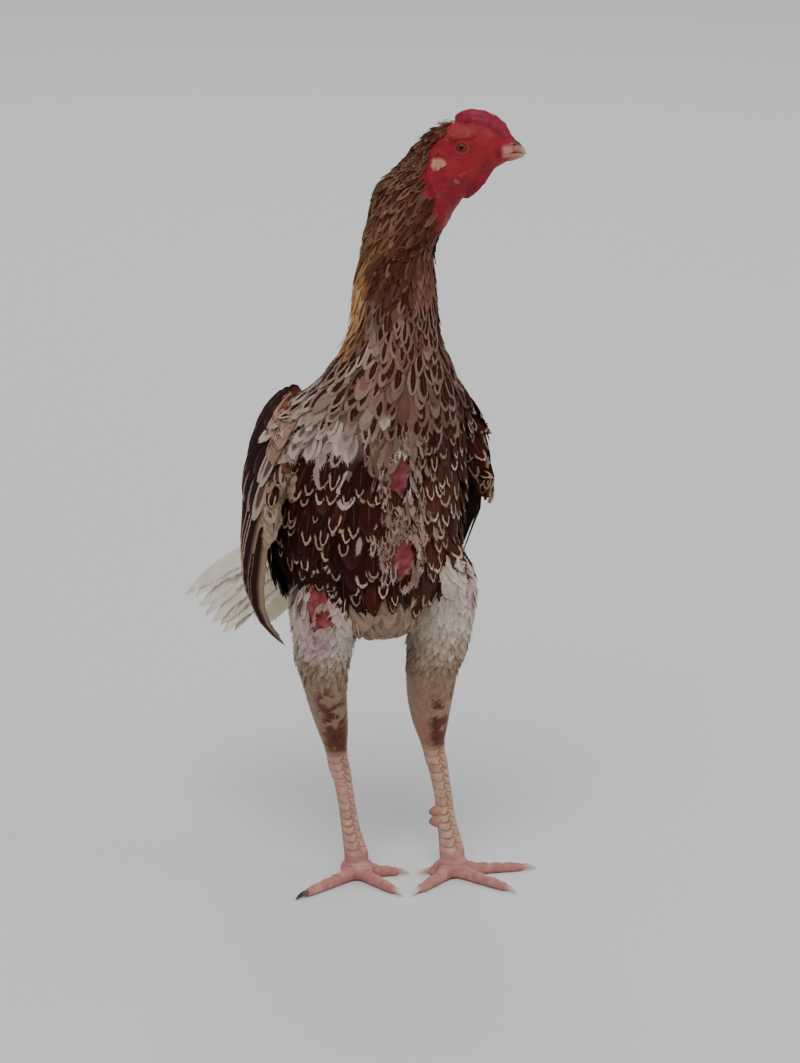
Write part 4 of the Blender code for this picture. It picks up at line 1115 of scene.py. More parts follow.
def make_trunk_coat(tree):
    coats = [Coat(name) for name, _ in TRUNK_COATS]
    z = TRUNK_COATS[0][1]
    row = 0
    while z > TRUNK_COAT_END:
        down, across, _, _ = trunk_sizes(z, 90.0)
        coat = coats[sum(z < top for _, top in TRUNK_COATS[1:])]
        count = max(8, round(TRUNK.round(z) / across))
        for place in range(count):
            full = float(smooth(440.0, 395.0, z))
            angle = 360.0 * (place + 0.5 * (row % 2)) / count
            angle += rng.normal(0, 0.2 + 0.08 * full) * 360.0 / count
            height = z + rng.normal(0, 0.24 + 0.16 * full) * down
            turned = wrapped(angle)
            _, _, length, half = trunk_sizes(height, abs(turned))
            root = TRUNK.point(height, angle)
            if bare_face(root) or hidden_by_thigh(root) or hidden_by_tail(root):
                continue
            length *= clear_share(height, turned, length, BARE_PATCHES)
            if length < 1.0 and rng.random() < 0.6:
                height = patch_foot(height, turned, BARE_PATCHES)
                root = TRUNK.point(height, angle)
                length = 20.0
            look = trunk_look(root, angle, height)
            pale = float(band(height, 505.0, 470.0, 385.0, 405.0))
            chest = float(band(turned, -10.0, -24.0, -105.0, -85.0))
            chest *= float(band(height, 376.0, 388.0, 446.0, 430.0))
            direction = trunk_directions(height, angle) + rng.normal(0, 0.07 + 0.07 * pale, 3)
            if over_thigh(root + unit(direction) * length * 0.8):
                length *= 0.6
            if length < 9.0 or over_thigh(root + unit(direction) * length * 0.8):
                continue
            shoulder = float(band(abs(turned), 55.0, 75.0, 125.0, 105.0))
            shoulder *= float(band(height, 384.0, 398.0, 452.0, 436.0))
            out = TRUNK.point(height, angle, 1.0) - root
            if turned > 0.0:
                front = float(band(turned, 52.0, 64.0, 92.0, 80.0))
                front *= float(band(height, 300.0, 330.0, 452.0, 436.0))
                shoulder = max(shoulder, 0.75 * front)
            direction = direction + out * 0.55 * shoulder
            if shoulder > 0.05 and pierces_wing(root + unit(direction) * length):
                length *= 0.6
            flank = float(band(abs(turned), 92.0, 108.0, 158.0, 140.0))
            flank *= float(band(height, 244.0, 268.0, 430.0, 400.0))
            size = 1.0 + rng.normal(0, 0.09 + 0.04 * full)
            belly = float(smooth(258.0, 240.0, height))
            if abs(turned) < 14.0 and height < 392.0:
                belly = max(belly, 0.6)
            half *= 1.0 - 0.2 * chest
            length *= 1.0 - 0.22 * chest
            near = 0.22 * float(smooth(-26.0, -8.0, face_margin(root)) * smooth(515.0, 540.0, height))
            half *= 1.0 - near
            length *= 1.0 - near
            narrow = height > 500.0 or belly > 0.7 * rng.random() + 0.2 or rng.random() < 0.4 * chest
            if height < 290.0 and abs(turned) < 75.0 and rng.random() < 0.9 * smooth(292.0, 272.0, height):
                narrow = True
            if height < 300.0 and abs(turned) < 84.0 and look[0][0] > 0.12:
                narrow = True
            blade = "lance" if narrow else ("broad" if rng.random() < 0.3 * full else "oval")
            lay(coat, tree, root, direction, length * size * (1 - 0.25 * belly),
                half * size * (1 - 0.35 * belly), blade,
                1.5 + 0.8 * rng.random() + 7.0 * shoulder + 7.0 * flank, look, trunk_uv(height, angle),
                sunk=0.6, curl=0.6 * rng.random(), camber=0.10, roll=rng.normal(0, 0.08),
                base=0.15 + 0.6 * rng.random() + 5.0 * flank,
                fringe=14, fray=1.5 + 0.7 * float(smooth(440.0, 390.0, height)) + belly + 1.4 * chest,
                skew=rng.normal(0, 0.07))
        z -= down
        row += 1
    return coats


# height, number of feathers, how far round from the rear in degrees, length
CAPE_TIERS = (
    (552.0, 26, 118.0, 46.0),
    (530.0, 28, 112.0, 44.0),
    (508.0, 30, 106.0, 42.0),
    (492.0, 30, 96.0, 38.0),
)


def make_cape(coat, tree):
    """Long golden feathers that hang off the rear and sides of the neck."""
    for tier, (height, count, reach, length) in enumerate(CAPE_TIERS):
        for place in range(count):
            turned = reach * (2.0 * (place + 0.5 * (tier % 2)) / count - 1.0) + rng.normal(0, 1.5)
            z = height + rng.normal(0, 4.0) + 34.0 * (abs(turned) / 110.0) ** 2
            angle = 180.0 + turned
            gold = float(smooth(108.0, 82.0, abs(turned)) * smooth(590.0, 530.0, z + 12.0 * rng.normal()))
            centre = mix(mix(HACKLE, UMBER, rng.random()), shaded(GOLD, 0.5), 0.8 * gold * rng.random())
            edge = mix(mix(UMBER, BUFF, 0.2 * rng.random()), mix(GOLD, STRAW, rng.random() ** 2), gold)
            look = (centre, edge, (0.50 + 0.16 * rng.random(), 0.32, 0.45, 0.0))
            direction = trunk_directions(z, angle) + rng.normal(0, 0.05, 3)
            lay(coat, tree, TRUNK.point(z, angle), direction, length * rng.uniform(0.85, 1.1),
                rng.uniform(2.7, 3.6), "lance", 2.8 + 1.8 * gold * rng.random(), look, trunk_uv(z, angle),
                follow=0.42, curl=0.8 * rng.random(), camber=0.12, roll=rng.normal(0, 0.10), base=0.8,
                fringe=8, fray=1.7)


def make_tufts(coat, tree, form, unwrap, patches, count, reach):
    """White quills and loose rosy tufts at the rims of bare patches."""
    for middle, turn, tall, wide in patches:
        for index in range(count):
            around = rng.uniform(-0.3, 1.3) * math.pi
            height = middle + tall * 1.15 * math.sin(around)
            angle = turn + wide * 1.2 * math.cos(around)
            colour = (0.60, 0.54, 0.47)
            if index % 9:
                colour = mix((0.36, 0.23, 0.19), (0.30, 0.12, 0.11), rng.random())
            look = (colour, mix(colour, CREAM, 0.3), (0.3, 0.2, 0.4, 0.0))
            down = unit(form.point(height - 6.0, angle) - form.point(height + 6.0, angle))
            direction = down + rng.normal(0, 0.22, 3)
            lay(coat, tree, form.point(height, angle), direction, reach * rng.uniform(0.6, 1.1),
                rng.uniform(0.6, 1.3), "lance", rng.uniform(1.0, 2.6), look, unwrap(height, angle), base=0.8,
                fringe=8)


PARTING_FEATHERS = 190


def make_parting(coat, tree):
    """Narrow loose feathers, cream and tan, along the middle of the breast."""
    for _ in range(PARTING_FEATHERS):
        height = rng.uniform(284.0, 408.0)
        turned = rng.normal(0.0, 7.5)
        length = rng.uniform(12.0, 21.0)
        length *= clear_share(height, turned, length, BARE_PATCHES)
        if length < 7.0:
            continue
        colour = shaded(mix(CREAM_PINK, (0.36, 0.23, 0.16), rng.random()), 0.4 + 0.5 * rng.random())
        centre = mix(colour, MAROON_WARM, 0.9 * (rng.random() < 0.55))
        direction = trunk_directions(height, turned) + rng.normal(0, 0.16, 3)
        lay(coat, tree, TRUNK.point(height, turned), direction, length, rng.uniform(1.5, 3.2), "lance",
            rng.uniform(1.5, 4.0), (centre, colour, (0.4, 0.2, 0.4, 0.0)), trunk_uv(height, turned), base=0.9,
            camber=0.12, roll=rng.normal(0, 0.2), fringe=10, fray=2.6)


def hidden_by_thigh(point):
    """True well inside a thigh, where the body's own feathers stop."""
    for thigh in THIGHS.values():
        if thigh.low < point[2] < 268.0:
            x, y, front, _, half, _ = cubic_rows(thigh.rows, point[2])
            inside = ((point[0] - x) / (half - 3.0)) ** 2 + ((point[1] - y) / (front - 3.0)) ** 2
            if inside < 1.0:
                return True
    return False


def over_thigh(tip):
    """True where a body feather's end would hang over a thigh."""
    for thigh in THIGHS.values():
        if tip[2] < 277.0:
            x, y, front, _, half, _ = cubic_rows(thigh.rows, max(tip[2], thigh.low))
            if ((tip[0] - x) / (half + 2.0)) ** 2 + ((tip[1] - y) / (front + 2.0)) ** 2 < 1.0:
                return True
    return False


def hidden_by_tail(point):
    local = point - TAIL_ROOT
    return local @ TAIL_OUT > 12.0 and abs(local @ TAIL_LEFT) < 18.0 and abs(local[2]) < 20.0


THIGH_COAT_TOP = 288.0
FEATHERS_END = {"r": 181.0, "l": 182.0}
# Loose threads of down hang below this height.
DOWN_TOP = 262.0
STUBBLE_COUNT = 300


def make_thigh_coats(tree):
    coats = []
    for key, thigh in THIGHS.items():
        coat = Coat("coat_thigh_" + key)
        z = THIGH_COAT_TOP
        row = 0
        end = FEATHERS_END[key]
        while z > end - 14.0:
            low = float(smooth(236.0, 180.0, z))
            down = 6.0 - 1.8 * low
            across = 5.6 - 2.0 * low
            count = max(8, round(thigh.round(z) / across))
            for place in range(count):
                angle = 360.0 * (place + 0.5 * (row % 2)) / count + rng.normal(0, 0.25) * 360.0 / count
                height = z + rng.normal(0, 0.3) * down
                root = thigh.point(height, angle)
                if inside_trunk(root, 1.0):
                    continue
                size = 1.0 + rng.normal(0, 0.14)
                length = (21.0 - 10.0 * low) * size
                half = (4.2 - 2.3 * low) * size
                length *= clear_share(height, angle, length, THIGH_PATCHES[key])
                if length < 1.0 and rng.random() < 0.6:
                    height = patch_foot(height, angle, THIGH_PATCHES[key])
                    root = thigh.point(height, angle)
                    length = 13.0
                ragged = height + 14.0 * speckle(root, 12.0, 2.0)
                if length < 5.0 or rng.random() < smooth(end + 16.0, end - 9.0, ragged):
                    continue
                look = thigh_look(key, root, angle, height)
                direction = unit(thigh.point(height - 5.0, angle) - thigh.point(height + 5.0, angle))
                direction = direction + np.array((0.0, 0.12, 0.0)) + rng.normal(0, 0.13, 3)
                spot = thigh_uv(key, height, angle)
                loose = 1.0 - 0.75 * float(smooth(214.0, 184.0, height))
                lay(coat, tree, root, direction, length, half, "lance", (2.2 + 1.8 * rng.random()) * loose,
                    look, spot, sunk=0.6, curl=(1.6 * rng.random() - 0.3) * loose, camber=0.12,
                    follow=0.55 + 0.3 * (1 - loose), roll=rng.normal(0, 0.22), base=0.2 + 0.4 * rng.random(),
                    fringe=10, fray=2.8 - 1.2 * low)
                if height < DOWN_TOP:
                    stray = rng.normal(0, 0.35, 3)
                    jump = rng.normal(0, 2.4, 3)
                    coat.strand(tree, root + jump, direction + stray, length * (0.55 + 0.5 * rng.random()),
                                0.34 + 0.2 * rng.random(), (2.0 + 2.6 * rng.random()) * loose, look[1], spot,
                                lift=(0.8 + 1.6 * rng.random()) * loose)
            z -= down
            row += 1
        # Short stubble on the bare drumstick.
        for _ in range(STUBBLE_COUNT):
            height = end + 8.0 - 44.0 * rng.random() ** 1.5
            angle = rng.uniform(0.0, 360.0)
            root = thigh.point(height, angle)
            colour = shaded((0.34, 0.23, 0.16), 0.6 + 0.6 * rng.random())
            direction = np.array((0.0, 0.1, -1.0)) + rng.normal(0, 0.25, 3)
            coat.strand(tree, root, direction, rng.uniform(2.0, 5.0), 0.26, rng.uniform(0.2, 0.9), colour,
                        thigh_uv(key, height, angle), lift=0.1)
        coats.append(coat)
    return coats


def inside_trunk(point, margin):
    """True inside the trunk's outline by more than a margin."""
    if point[2] < TRUNK.low:
        return False
    x, y, front, back, half, _ = cubic_rows(TRUNK.rows, point[2])
    along = -(point[1] - y)
    reach = front if along > 0 else back
    return ((point[0] - x) / (half - margin)) ** 2 + (along / (reach - margin)) ** 2 < 1.0


# Wings

# Distance of a wing's guide surface from the trunk's middle, by height.
WING_GUIDE = ((170.0, 56.0), (195.0, 64.0), (220.0, 82.0), (247.0, 94.0), (280.0, 97.5), (320.0, 96.5),
              (350.0, 93.0), (375.0, 85.0), (395.0, 75.5), (412.0, 64.0), (428.0, 50.0), (440.0, 38.0))
WING_SPREAD = {-1: 0.0, 1: 8.0}
WING_REAR = 44.0
WING_TUCK = 0.0085


def wing_surface(side, y, z, out=0.0):
    """Points on a wing's guide surface, moved outwards by out."""
    y = np.asarray(y, float)
    z = np.asarray(z, float)
    half = cubic_rows(WING_GUIDE, z)[..., 0] - WING_TUCK * np.maximum(0.0, y - WING_REAR) ** 2
    spread = WING_SPREAD[side] * (1.6 * smooth(262.0, 330.0, z) - 0.6)
    x = BODY_X + side * (half + spread + out)
    return np.stack([x, y, z], -1)


def wing_normal(side, y, z):
    rise = wing_surface(side, y, z + 2.0) - wing_surface(side, y, z - 2.0)
    run = wing_surface(side, y + 2.0, z) - wing_surface(side, y - 2.0, z)
    normal = unit(np.cross(rise, run))
    return normal * np.sign(normal[..., :1] * side)


# name, count, first and last root, first and last tip as y and z, half width, distance out, bow, columns
WING_TIERS = (
    ("primaries", 7, (14.0, 352.0), (42.0, 350.0), (74.0, 194.0), (97.0, 236.0), 7.2, 0.0, -9.0, 2),
    ("secondaries", 11, (13.0, 368.0), (60.0, 378.0), (70.0, 236.0), (107.0, 314.0), 8.4, 3.0, -4.0, 2),
    ("greater", 11, (8.0, 386.0), (60.0, 396.0), (32.0, 318.0), (94.0, 344.0), 7.0, 5.6, -2.0, 2),
    ("median", 11, (6.0, 398.0), (54.0, 408.0), (20.0, 348.0), (82.0, 372.0), 6.6, 7.8, -1.0, 1),
    ("lesser1", 14, (3.0, 402.0), (52.0, 411.0), (8.0, 368.0), (70.0, 386.0), 4.9, 8.8, 0.0, 1),
    ("lesser2", 15, (2.0, 407.0), (50.0, 415.0), (3.0, 380.0), (64.0, 396.0), 4.3, 9.4, 0.0, 1),
    ("lesser3", 15, (2.0, 411.0), (47.0, 418.0), (1.0, 390.0), (58.0, 404.0), 3.9, 9.6, 0.0, 1),
    ("lesser4", 14, (4.0, 415.0), (43.0, 421.0), (1.0, 397.0), (52.0, 410.0), 3.6, 9.4, 0.0, 1),
    ("lesser5", 12, (7.0, 419.0), (38.0, 424.0), (4.0, 404.0), (44.0, 415.0), 3.4, 8.8, 0.0, 1),
)
QUILL_STATIONS = (0.0, 0.1, 0.24, 0.4, 0.56, 0.7, 0.82, 0.91, 0.97)
QUILL_WIDTHS = (0.3, 0.7, 0.95, 1.0, 1.0, 0.96, 0.84, 0.6, 0.32)


def tier_spot(tier, place, part):
    """Where a feather of a tier runs, in y and z, at parts of its length."""
    _, count, root_a, root_b, tip_a, tip_b, _, _, bow, _ = tier
    share = place / (count - 1)
    root = mix(root_a, root_b, share)
    tip = mix(tip_a, tip_b, share)
    along = tip - root
    side = unit(np.array((-along[1], along[0])))
    if side[0] > 0:
        side = -side
    part = np.asarray(part, float)[..., None]
    return root + along * part - side * bow * 4.0 * part * (1.0 - part)


# How far the feathers of a tier roll to face forwards by their tips.
WING_ROLLS = {"primaries": 0.75, "secondaries": 0.30, "greater": 0.16}


# The pale share of each tier of small coverts on the right wing, from its front.
PALE_SHARES = {"lesser1": 0.34, "lesser2": 0.5, "lesser3": 0.66, "lesser4": 0.8, "lesser5": 0.9}


def wing_look(name, place, count, side):
    """Colours of one wing feather."""
    share = place / (count - 1)
    lot = rng.random()
    if name == "primaries":
        dark = mix((0.034, 0.010, 0.005), (0.016, 0.005, 0.004), lot)
        pale = mix(BUFF, CREAM, 0.35 + 0.3 * rng.random())
        return dark, mix(pale, dark, 0.6), (0.10, 0.03, 0.10, 0.0), shaded(pale, 0.62)
    if name == "secondaries":
        centre = mix(PLUM, MAROON, lot)
        edge = shaded(mix(CREAM, BUFF, 0.3 + 0.3 * lot), 0.75)
        if place < 3:
            return centre, edge, (0.16, 0.08, 0.2, 0.1), shaded(mix(CREAM, BUFF, 0.4 + 0.4 * lot), 0.65)
        # The left wing's secondaries are painted warmer and lighter than the right's: painted light for that
        # shaded wing, laid over their real dark maroon.
        if side > 0:
            warm_and_lit = mix((0.10, 0.032, 0.018), PLUM, 0.6 * lot)
            return warm_and_lit, mix(warm_and_lit, edge, 0.3 + 0.6 * rng.random()), (0.16, 0.14, 0.3, 0.3)
        return centre, mix(centre, edge, 0.25 + 0.5 * (lot > 0.7)), (0.12, 0.05, 0.1, 0.45)
    centre = mix(PLUM, MAROON, 0.6 * lot)
    edge = shaded(mix(CREAM, BUFF, 0.2 + 0.5 * rng.random()), 0.5 + 0.3 * rng.random())
    # The left wing's coverts are painted warmer and lighter as well: painted light for the shaded wing, laid
    # over their real dark brown with pale edges.
    if side > 0:
        warm_and_lit = mix((0.10, 0.030, 0.017), centre, 0.7 * lot)
        return warm_and_lit, mix(warm_and_lit, edge, rng.random()), (0.30 + 0.1 * lot, 0.14, 0.3, 0.25)
    front = share + 0.08 * rng.normal()
    if name in ("greater", "median") and front < 0.14:
        rosy = mix(shaded(CREAM_PINK, 0.5), MAROON_WARM, 0.4 + 0.6 * lot)
        return rosy, shaded(CREAM, 0.65), (0.42, 0.16, 0.35, 0.0)
    if front < PALE_SHARES.get(name, 0.0):
        rust = mix((0.15, 0.034, 0.016), MAROON_WARM, rng.random())
        peach = shaded(mix((0.46, 0.24, 0.14), CREAM_PINK, rng.random()), 0.55 + 0.45 * rng.random())
        if rng.random() < 0.25:
            return mix(rust, peach, 0.6), peach, (0.30, 0.28, 0.4, 0.2)
        return rust, peach, (0.2 + 0.3 * rng.random(), 0.12 + 0.2 * lot, 0.4, 0.3 + 0.3 * rng.random())
    if name == "greater" and rng.random() < 0.3:
        return centre, edge, (0.26, 0.10, 0.15, 0.55)
    return centre, mix(centre, edge, 0.16 * rng.random()), (0.16, 0.10, 0.12, 0.3)


# Heights and radii of the round front of a folded wing.
ARM_ROWS = {
    -1: ((302.0, 3.0), (322.0, 5.5), (345.0, 7.0), (375.0, 8.0), (400.0, 8.5), (420.0, 7.5), (434.0, 5.0)),
    1: ((318.0, 2.5), (334.0, 5.5), (352.0, 8.0), (375.0, 10.5), (400.0, 11.0), (420.0, 9.0), (434.0, 6.0)),
}
ARM_Y = 12.0
ARM_OUT = 4.0
# The highest row of small feathers, and how far over the form's low end the rows stop.
ARM_COAT_TOP = 430.0
ARM_COAT_END = 20.0


def arm_form(side):
    rows = []
    for z, radius in ARM_ROWS[side]:
        x = wing_surface(side, ARM_Y, z)[0] + side * (ARM_OUT - 0.9 * radius)
        rows.append((z, x, ARM_Y, radius, radius, radius, 0.0))
    return Form(rows)


def arm_look(side, z):
    """Colours of the small feathers at the front of a wing."""
    lot = rng.random()
    dark = mix((0.09, 0.028, 0.016), MAROON, lot)
    pale = shaded(mix(CREAM, BUFF, 0.2 + 0.6 * rng.random()), 0.5 + 0.45 * rng.random())
    if side < 0 and rng.random() < smooth(392.0, 408.0, z):
        rust = mix((0.15, 0.034, 0.016), MAROON_WARM, rng.random())
        peach = shaded(mix((0.46, 0.24, 0.14), CREAM_PINK, rng.random()), 0.55 + 0.45 * rng.random())
        return rust, peach, (0.2 + 0.3 * lot, 0.15, 0.4, 0.35)
    if side < 0 and rng.random() < 0.8:
        return mix(dark, pale, 0.7 * rng.random()), shaded(pale, 0.85), (0.55 + 0.2 * lot, 0.25, 0.7, 0.0)
    if side > 0 and rng.random() < smooth(350.0, 334.0, z):
        return shaded(pale, 0.5), shaded(pale, 0.75), (0.4, 0.3, 0.5, 0.0)
    kind = rng.random()
    if kind < 0.2:
        return dark, mix(dark, pale, 0.15), (0.3, 0.2, 0.4, 0.2)
    if kind < 0.65:
        return dark, shaded(pale, 0.7), (0.35 + 0.15 * lot, 0.22, 0.6, 0.1)
    return dark, pale, (0.45 + 0.15 * lot, 0.12, 1.2, 0.45)


def make_arm_coat(coat, tree, side):
    """Small feathers round the front of a folded wing."""
    arm = arm_form(side)
    z = ARM_COAT_TOP
    row = 0
    while z > arm.low + ARM_COAT_END:
        for place in range(5):
            turned = -95.0 + 38.0 * (place + 0.5 * (row % 2)) + rng.normal(0, 6.0)
            height = z + rng.normal(0, 2.0)
            direction = np.array((0.05 * side, 0.12, -1.0)) + rng.normal(0, 0.1, 3)
            lay(coat, tree, arm.point(height, side * turned), direction, rng.uniform(19.0, 26.0),
                rng.uniform(4.6, 6.4), "oval", rng.uniform(1.5, 3.4), arm_look(side, height),
                wing_uv(side, ARM_Y + 0.1 * turned, height), roll=rng.normal(0, 0.1), base=0.4, fringe=10,
                fray=1.8)
        z -= 8.0
        row += 1


def make_wing(side, key, tree):
    coat = Coat("wing_feathers_" + key)
    stations = np.array(QUILL_STATIONS)
    widths = np.array(QUILL_WIDTHS)
    for tier in WING_TIERS:
        name, count, _, _, _, _, half, out, _, columns = tier
        for place in range(count):
            spots = tier_spot(tier, place, stations)
            near = tier_spot(tier, place + (1 if place < count - 1 else -1), stations)
            late = tier_spot(tier, place, np.minimum(stations + 0.04, 1.0))
            early = tier_spot(tier, place, np.maximum(stations - 0.04, 0.0))
            centres = wing_surface(side, *spots.T)
            normals = wing_normal(side, *spots.T)
            runs = unit(wing_surface(side, *late.T) - wing_surface(side, *early.T))
            across = unit(np.cross(normals, runs))
            across = across * np.sign(across[:, 1:2])
            apart = wing_surface(side, *near.T) - centres
            apart = np.maximum(np.abs((apart * across).sum(1)), 2.0)
            roll = np.minimum(0.8 / apart, 0.4) + WING_ROLLS.get(name, 0.0) * stations
            roll = roll[:, None]
            sides = unit(across + normals * roll)
            ups = unit(normals - across * roll)
            stand = out - 3.0 * (1 - smooth(0.0, 0.25, stations)) + 0.8 * rng.random() * stations**2
            centres = centres + normals * stand[:, None]
            flat = unit(np.cross(sides, runs))
            flat = flat * np.sign((flat * ups).sum(1, keepdims=True))
            turned = sides if (np.cross(sides[0], ups[0]) @ runs[0]) < 0 else -sides
            size = 1.0 + rng.normal(0, 0.04)
            look = wing_look(name, place, count, side)
            if turned is not sides and len(look) > 3:
                look = (look[3], look[1], look[2], look[0])
            coat.add(centres, turned, flat, half * size * widths, stations, wing_uv(side, *spots[0]), look,
                     camber=0.1, columns=columns, thick=LARGE_QUILL_THICK, fringe=6, fray=1.2)
    make_arm_coat(coat, tree, side)
    return coat


# Tail

TAIL_ROOF = math.radians(60.0)
TAIL_BEND = 16.0
# Long feathers, coverts and short coverts. First value and step for each next pair of length, drop,
# splay, lift and distance apart, then the number of pairs, the half width and the columns.
TAIL_TIERS = (
    ((166.0, -9.5), (9.0, 2.3), (1.0, 0.9), (8.0, -3.3), (6.4, 0.9), 8, 12.5, 2),
    ((104.0, -6.0), (8.0, 4.0), (4.0, 1.4), (12.0, -5.0), (9.6, 1.3), 6, 9.0, 2),
    ((70.0, -3.0), (5.0, 6.0), (8.0, 2.0), (15.0, -6.0), (12.0, 1.3), 6, 7.6, 1),
)
TAIL_WIDTHS = (0.3, 0.7, 0.95, 1.0, 0.93, 0.8, 0.62, 0.40, 0.18)


def make_tail_coat():
    coat = Coat("tail_feathers")
    stations = np.array(QUILL_STATIONS)
    widths = np.array(TAIL_WIDTHS)
    for length, drop, splay, lift, apart, pairs, half, columns in TAIL_TIERS:
        for rank in range(pairs):
            for side in (-1, 1):
                reach = (length[0] + length[1] * rank) * (1 + rng.normal(0, 0.02)) * stations
                bend = np.radians(drop[0] + drop[1] * rank + rng.normal(0, 0.8) + TAIL_BEND * stations)
                yaw = math.radians(splay[0] + splay[1] * rank + rng.normal(0, 0.5)) * side
                ahead = TAIL_OUT * math.cos(yaw) + TAIL_LEFT * math.sin(yaw)
                start = TAIL_ROOT + TAIL_OUT * 26.0 + TAIL_LEFT * side * (apart[0] + apart[1] * rank)
                start = start + UP * (lift[0] + lift[1] * rank)
                runs = ahead * np.cos(bend)[:, None] - UP * np.sin(bend)[:, None]
                centres = start + runs * reach[:, None]
                flat = unit(np.cross(runs, UP))
                flat = flat * np.sign((flat @ TAIL_LEFT) * side)[:, None]
                lower = unit(np.cross(runs, flat))
                lower = lower * -np.sign(lower[:, 2:3])
                sides = flat * math.cos(TAIL_ROOF) + lower * math.sin(TAIL_ROOF)
                ups = unit(np.cross(runs, sides))
                ups = ups * np.sign((ups @ TAIL_LEFT) * side)[:, None]
                turned = sides if (np.cross(sides[0], ups[0]) @ runs[0]) < 0 else -sides
                lot = rng.random()
                centre = mix(TAIL_WHITE, CREAM, 0.5 * lot)
                centre = mix(centre, (0.55, 0.40, 0.20), 0.4 * rng.random() * (rank > 2))
                edge = mix(TAIL_WHITE, centre, 0.3)
                look = (centre, edge, (0.4, 0.2, 0.5, lot))
                wander = np.cumsum(rng.normal(0.0, 0.5, len(stations)))
                centres = centres + UP * wander[:, None] + turned * (0.5 * wander)[:, None]
                halves = half * widths * (1 + rng.normal(0, 0.08, len(widths)))
                spot = tail_uv(side, 20.0 * rank, 10.0 * columns + lift[0] * 2)
                coat.add(centres, turned, ups, halves, stations, spot, look, camber=0.12, columns=columns,
                         thick=LARGE_QUILL_THICK, fringe=40, fray=5.0)
    return coat


# Head

def ball(middle, radii, turn=HEAD_TURN, tilt=0.0):
    """A closed ellipsoid with its own length, width and height."""
    level, left = heading(np.array(turn))
    ahead = level * math.cos(tilt) + UP * math.sin(tilt)
    up = UP * math.cos(tilt) - level * math.sin(tilt)
    rings = []
    for latitude in np.linspace(-88, 88, 20):
        reach = math.cos(math.radians(latitude))
        centre = np.asarray(middle) + up * math.sin(math.radians(latitude)) * radii[2]
        rings.append(oval(centre, reach * radii[0], ahead, reach * radii[1], left, 32))
    return outward(loft("ball", rings))


def rope(line, radii, closed=False):
    """A tube through points, with a radius at each; closed joins its ends."""
    line = np.asarray(line, float)
    count = 12
    runs = unit(np.roll(line, -1, 0) - np.roll(line, 1, 0) if closed else np.gradient(line, axis=0))
    beside = unit(np.cross(runs, unit(HEAD_LEFT + 0.01 * UP)))
    other = np.cross(runs, beside)
    rings = [oval(line[i], radii[i], beside[i], radii[i], other[i], count) for i in range(len(line))]
    if not closed:
        return outward(loft("rope", rings))
    faces = ring_faces(len(rings), count)
    last = (len(rings) - 1) * count
    for corner in range(count):
        following = (corner + 1) % count
        faces.append((last + corner, last + following, following, corner))
    return outward(mesh_object("rope", np.concatenate(rings), faces))


# Where the feathers end behind the bare face: height over the eye, and place along the head.
FACE_BORDER = ((-95.0, 8.0), (-84.0, -8.0), (-74.0, -13.0), (-60.0, -17.0), (-46.0, -19.0), (-35.0, -24.0),
               (-25.0, -28.0), (-8.0, -28.0), (0.0, -25.5), (8.0, -19.0), (15.0, -11.5), (22.0, -8.0))


def face_margin(points):
    """How far points lie ahead of the feathers' border, in millimetres."""
    local = np.asarray(points) - HEAD_MIDDLE
    border = cubic_rows(FACE_BORDER, local[..., 2])[..., 0]
    return local @ HEAD_AHEAD - border


EYE_RADIUS = 5.4
EYE_OUT = 12.6
HEAD_SUNK = 2.6


def head_levels():
    """Rings of the head, sunk a little where it carries no feathers."""
    rings = []
    for z in np.arange(556.0, 655.2, 1.2):
        flush = TRUNK.ring(z, 120)
        share = smooth(4.0, -4.0, face_margin(flush))[:, None]
        rings.append(mix(flush, TRUNK.ring(z, 120, -HEAD_SUNK), share))
    return rings


# height over the eye, place along the head, half depth, half width
WATTLE_ROWS = ((-44.5, 3.0, 2.0, 1.4), (-41.0, 4.0, 5.4, 3.0), (-35.0, 7.5, 8.2, 4.0),
               (-28.0, 12.0, 8.6, 4.2), (-21.0, 17.5, 7.4, 3.6), (-17.0, 21.5, 5.6, 2.9),
               (-13.0, 25.0, 3.0, 2.0))


def wattle(side):
    rings = []
    for up in np.linspace(-44.3, -13.2, 24):
        forward, depth, half = cubic_rows(WATTLE_ROWS, up)
        middle = head_place(forward, side * (half + 0.6), up)
        rings.append(oval(middle, depth, HEAD_AHEAD, half, HEAD_LEFT))
    return outward(loft("wattle", rings))


def head_local(points):
    away = points - HEAD_MIDDLE
    return np.stack([away @ HEAD_AHEAD, away @ HEAD_LEFT, away[:, 2]], -1)


def eye_dent(points, side):
    """Presses an oval of one side of the head inwards, for the eyeball."""
    local = head_local(points)
    away = (local[:, 0] / 5.4) ** 2 + (local[:, 2] / 4.7) ** 2
    out = local[:, 1] * side
    share = smooth(1.35, 0.8, away) * (out > 8.0)
    return points + HEAD_LEFT * (side * (np.minimum(out, 13.4) - out) * share)[:, None]


# Folds over and under the eye, of the jaw and at the ear: place along the head, height and place
# outwards of the points of each, then the radius at each point.
FACE_FOLDS = (
    (((-10.0, 3.5, 16.2), (-6.0, 7.4, 16.4), (0.0, 9.0, 16.2), (6.5, 8.2, 15.4), (12.0, 5.2, 14.4)),
     (0.8, 1.6, 1.9, 1.5, 0.7)),
    (((-9.0, -6.0, 16.9), (-4.0, -8.6, 17.2), (2.5, -9.0, 16.9), (9.0, -7.2, 15.8)), (0.6, 1.0, 1.0, 0.6)),
    (((31.0, -11.5, 7.0), (22.0, -14.5, 10.0), (10.0, -18.0, 14.0), (-2.0, -24.0, 17.0), (-8.0, -33.0, 18.0)),
     (0.8, 1.5, 1.8, 1.9, 1.0)),
    (((-19.0, -3.0, 17.0), (-23.5, -7.5, 17.6), (-24.5, -13.0, 18.0)), (0.9, 1.3, 0.8)),
)
# Half length, half height, place outwards and thickness of the rims of the lids.
LID_RIMS = ((4.5, 3.7, 16.3, 1.05), (6.2, 5.4, 16.6, 0.85))


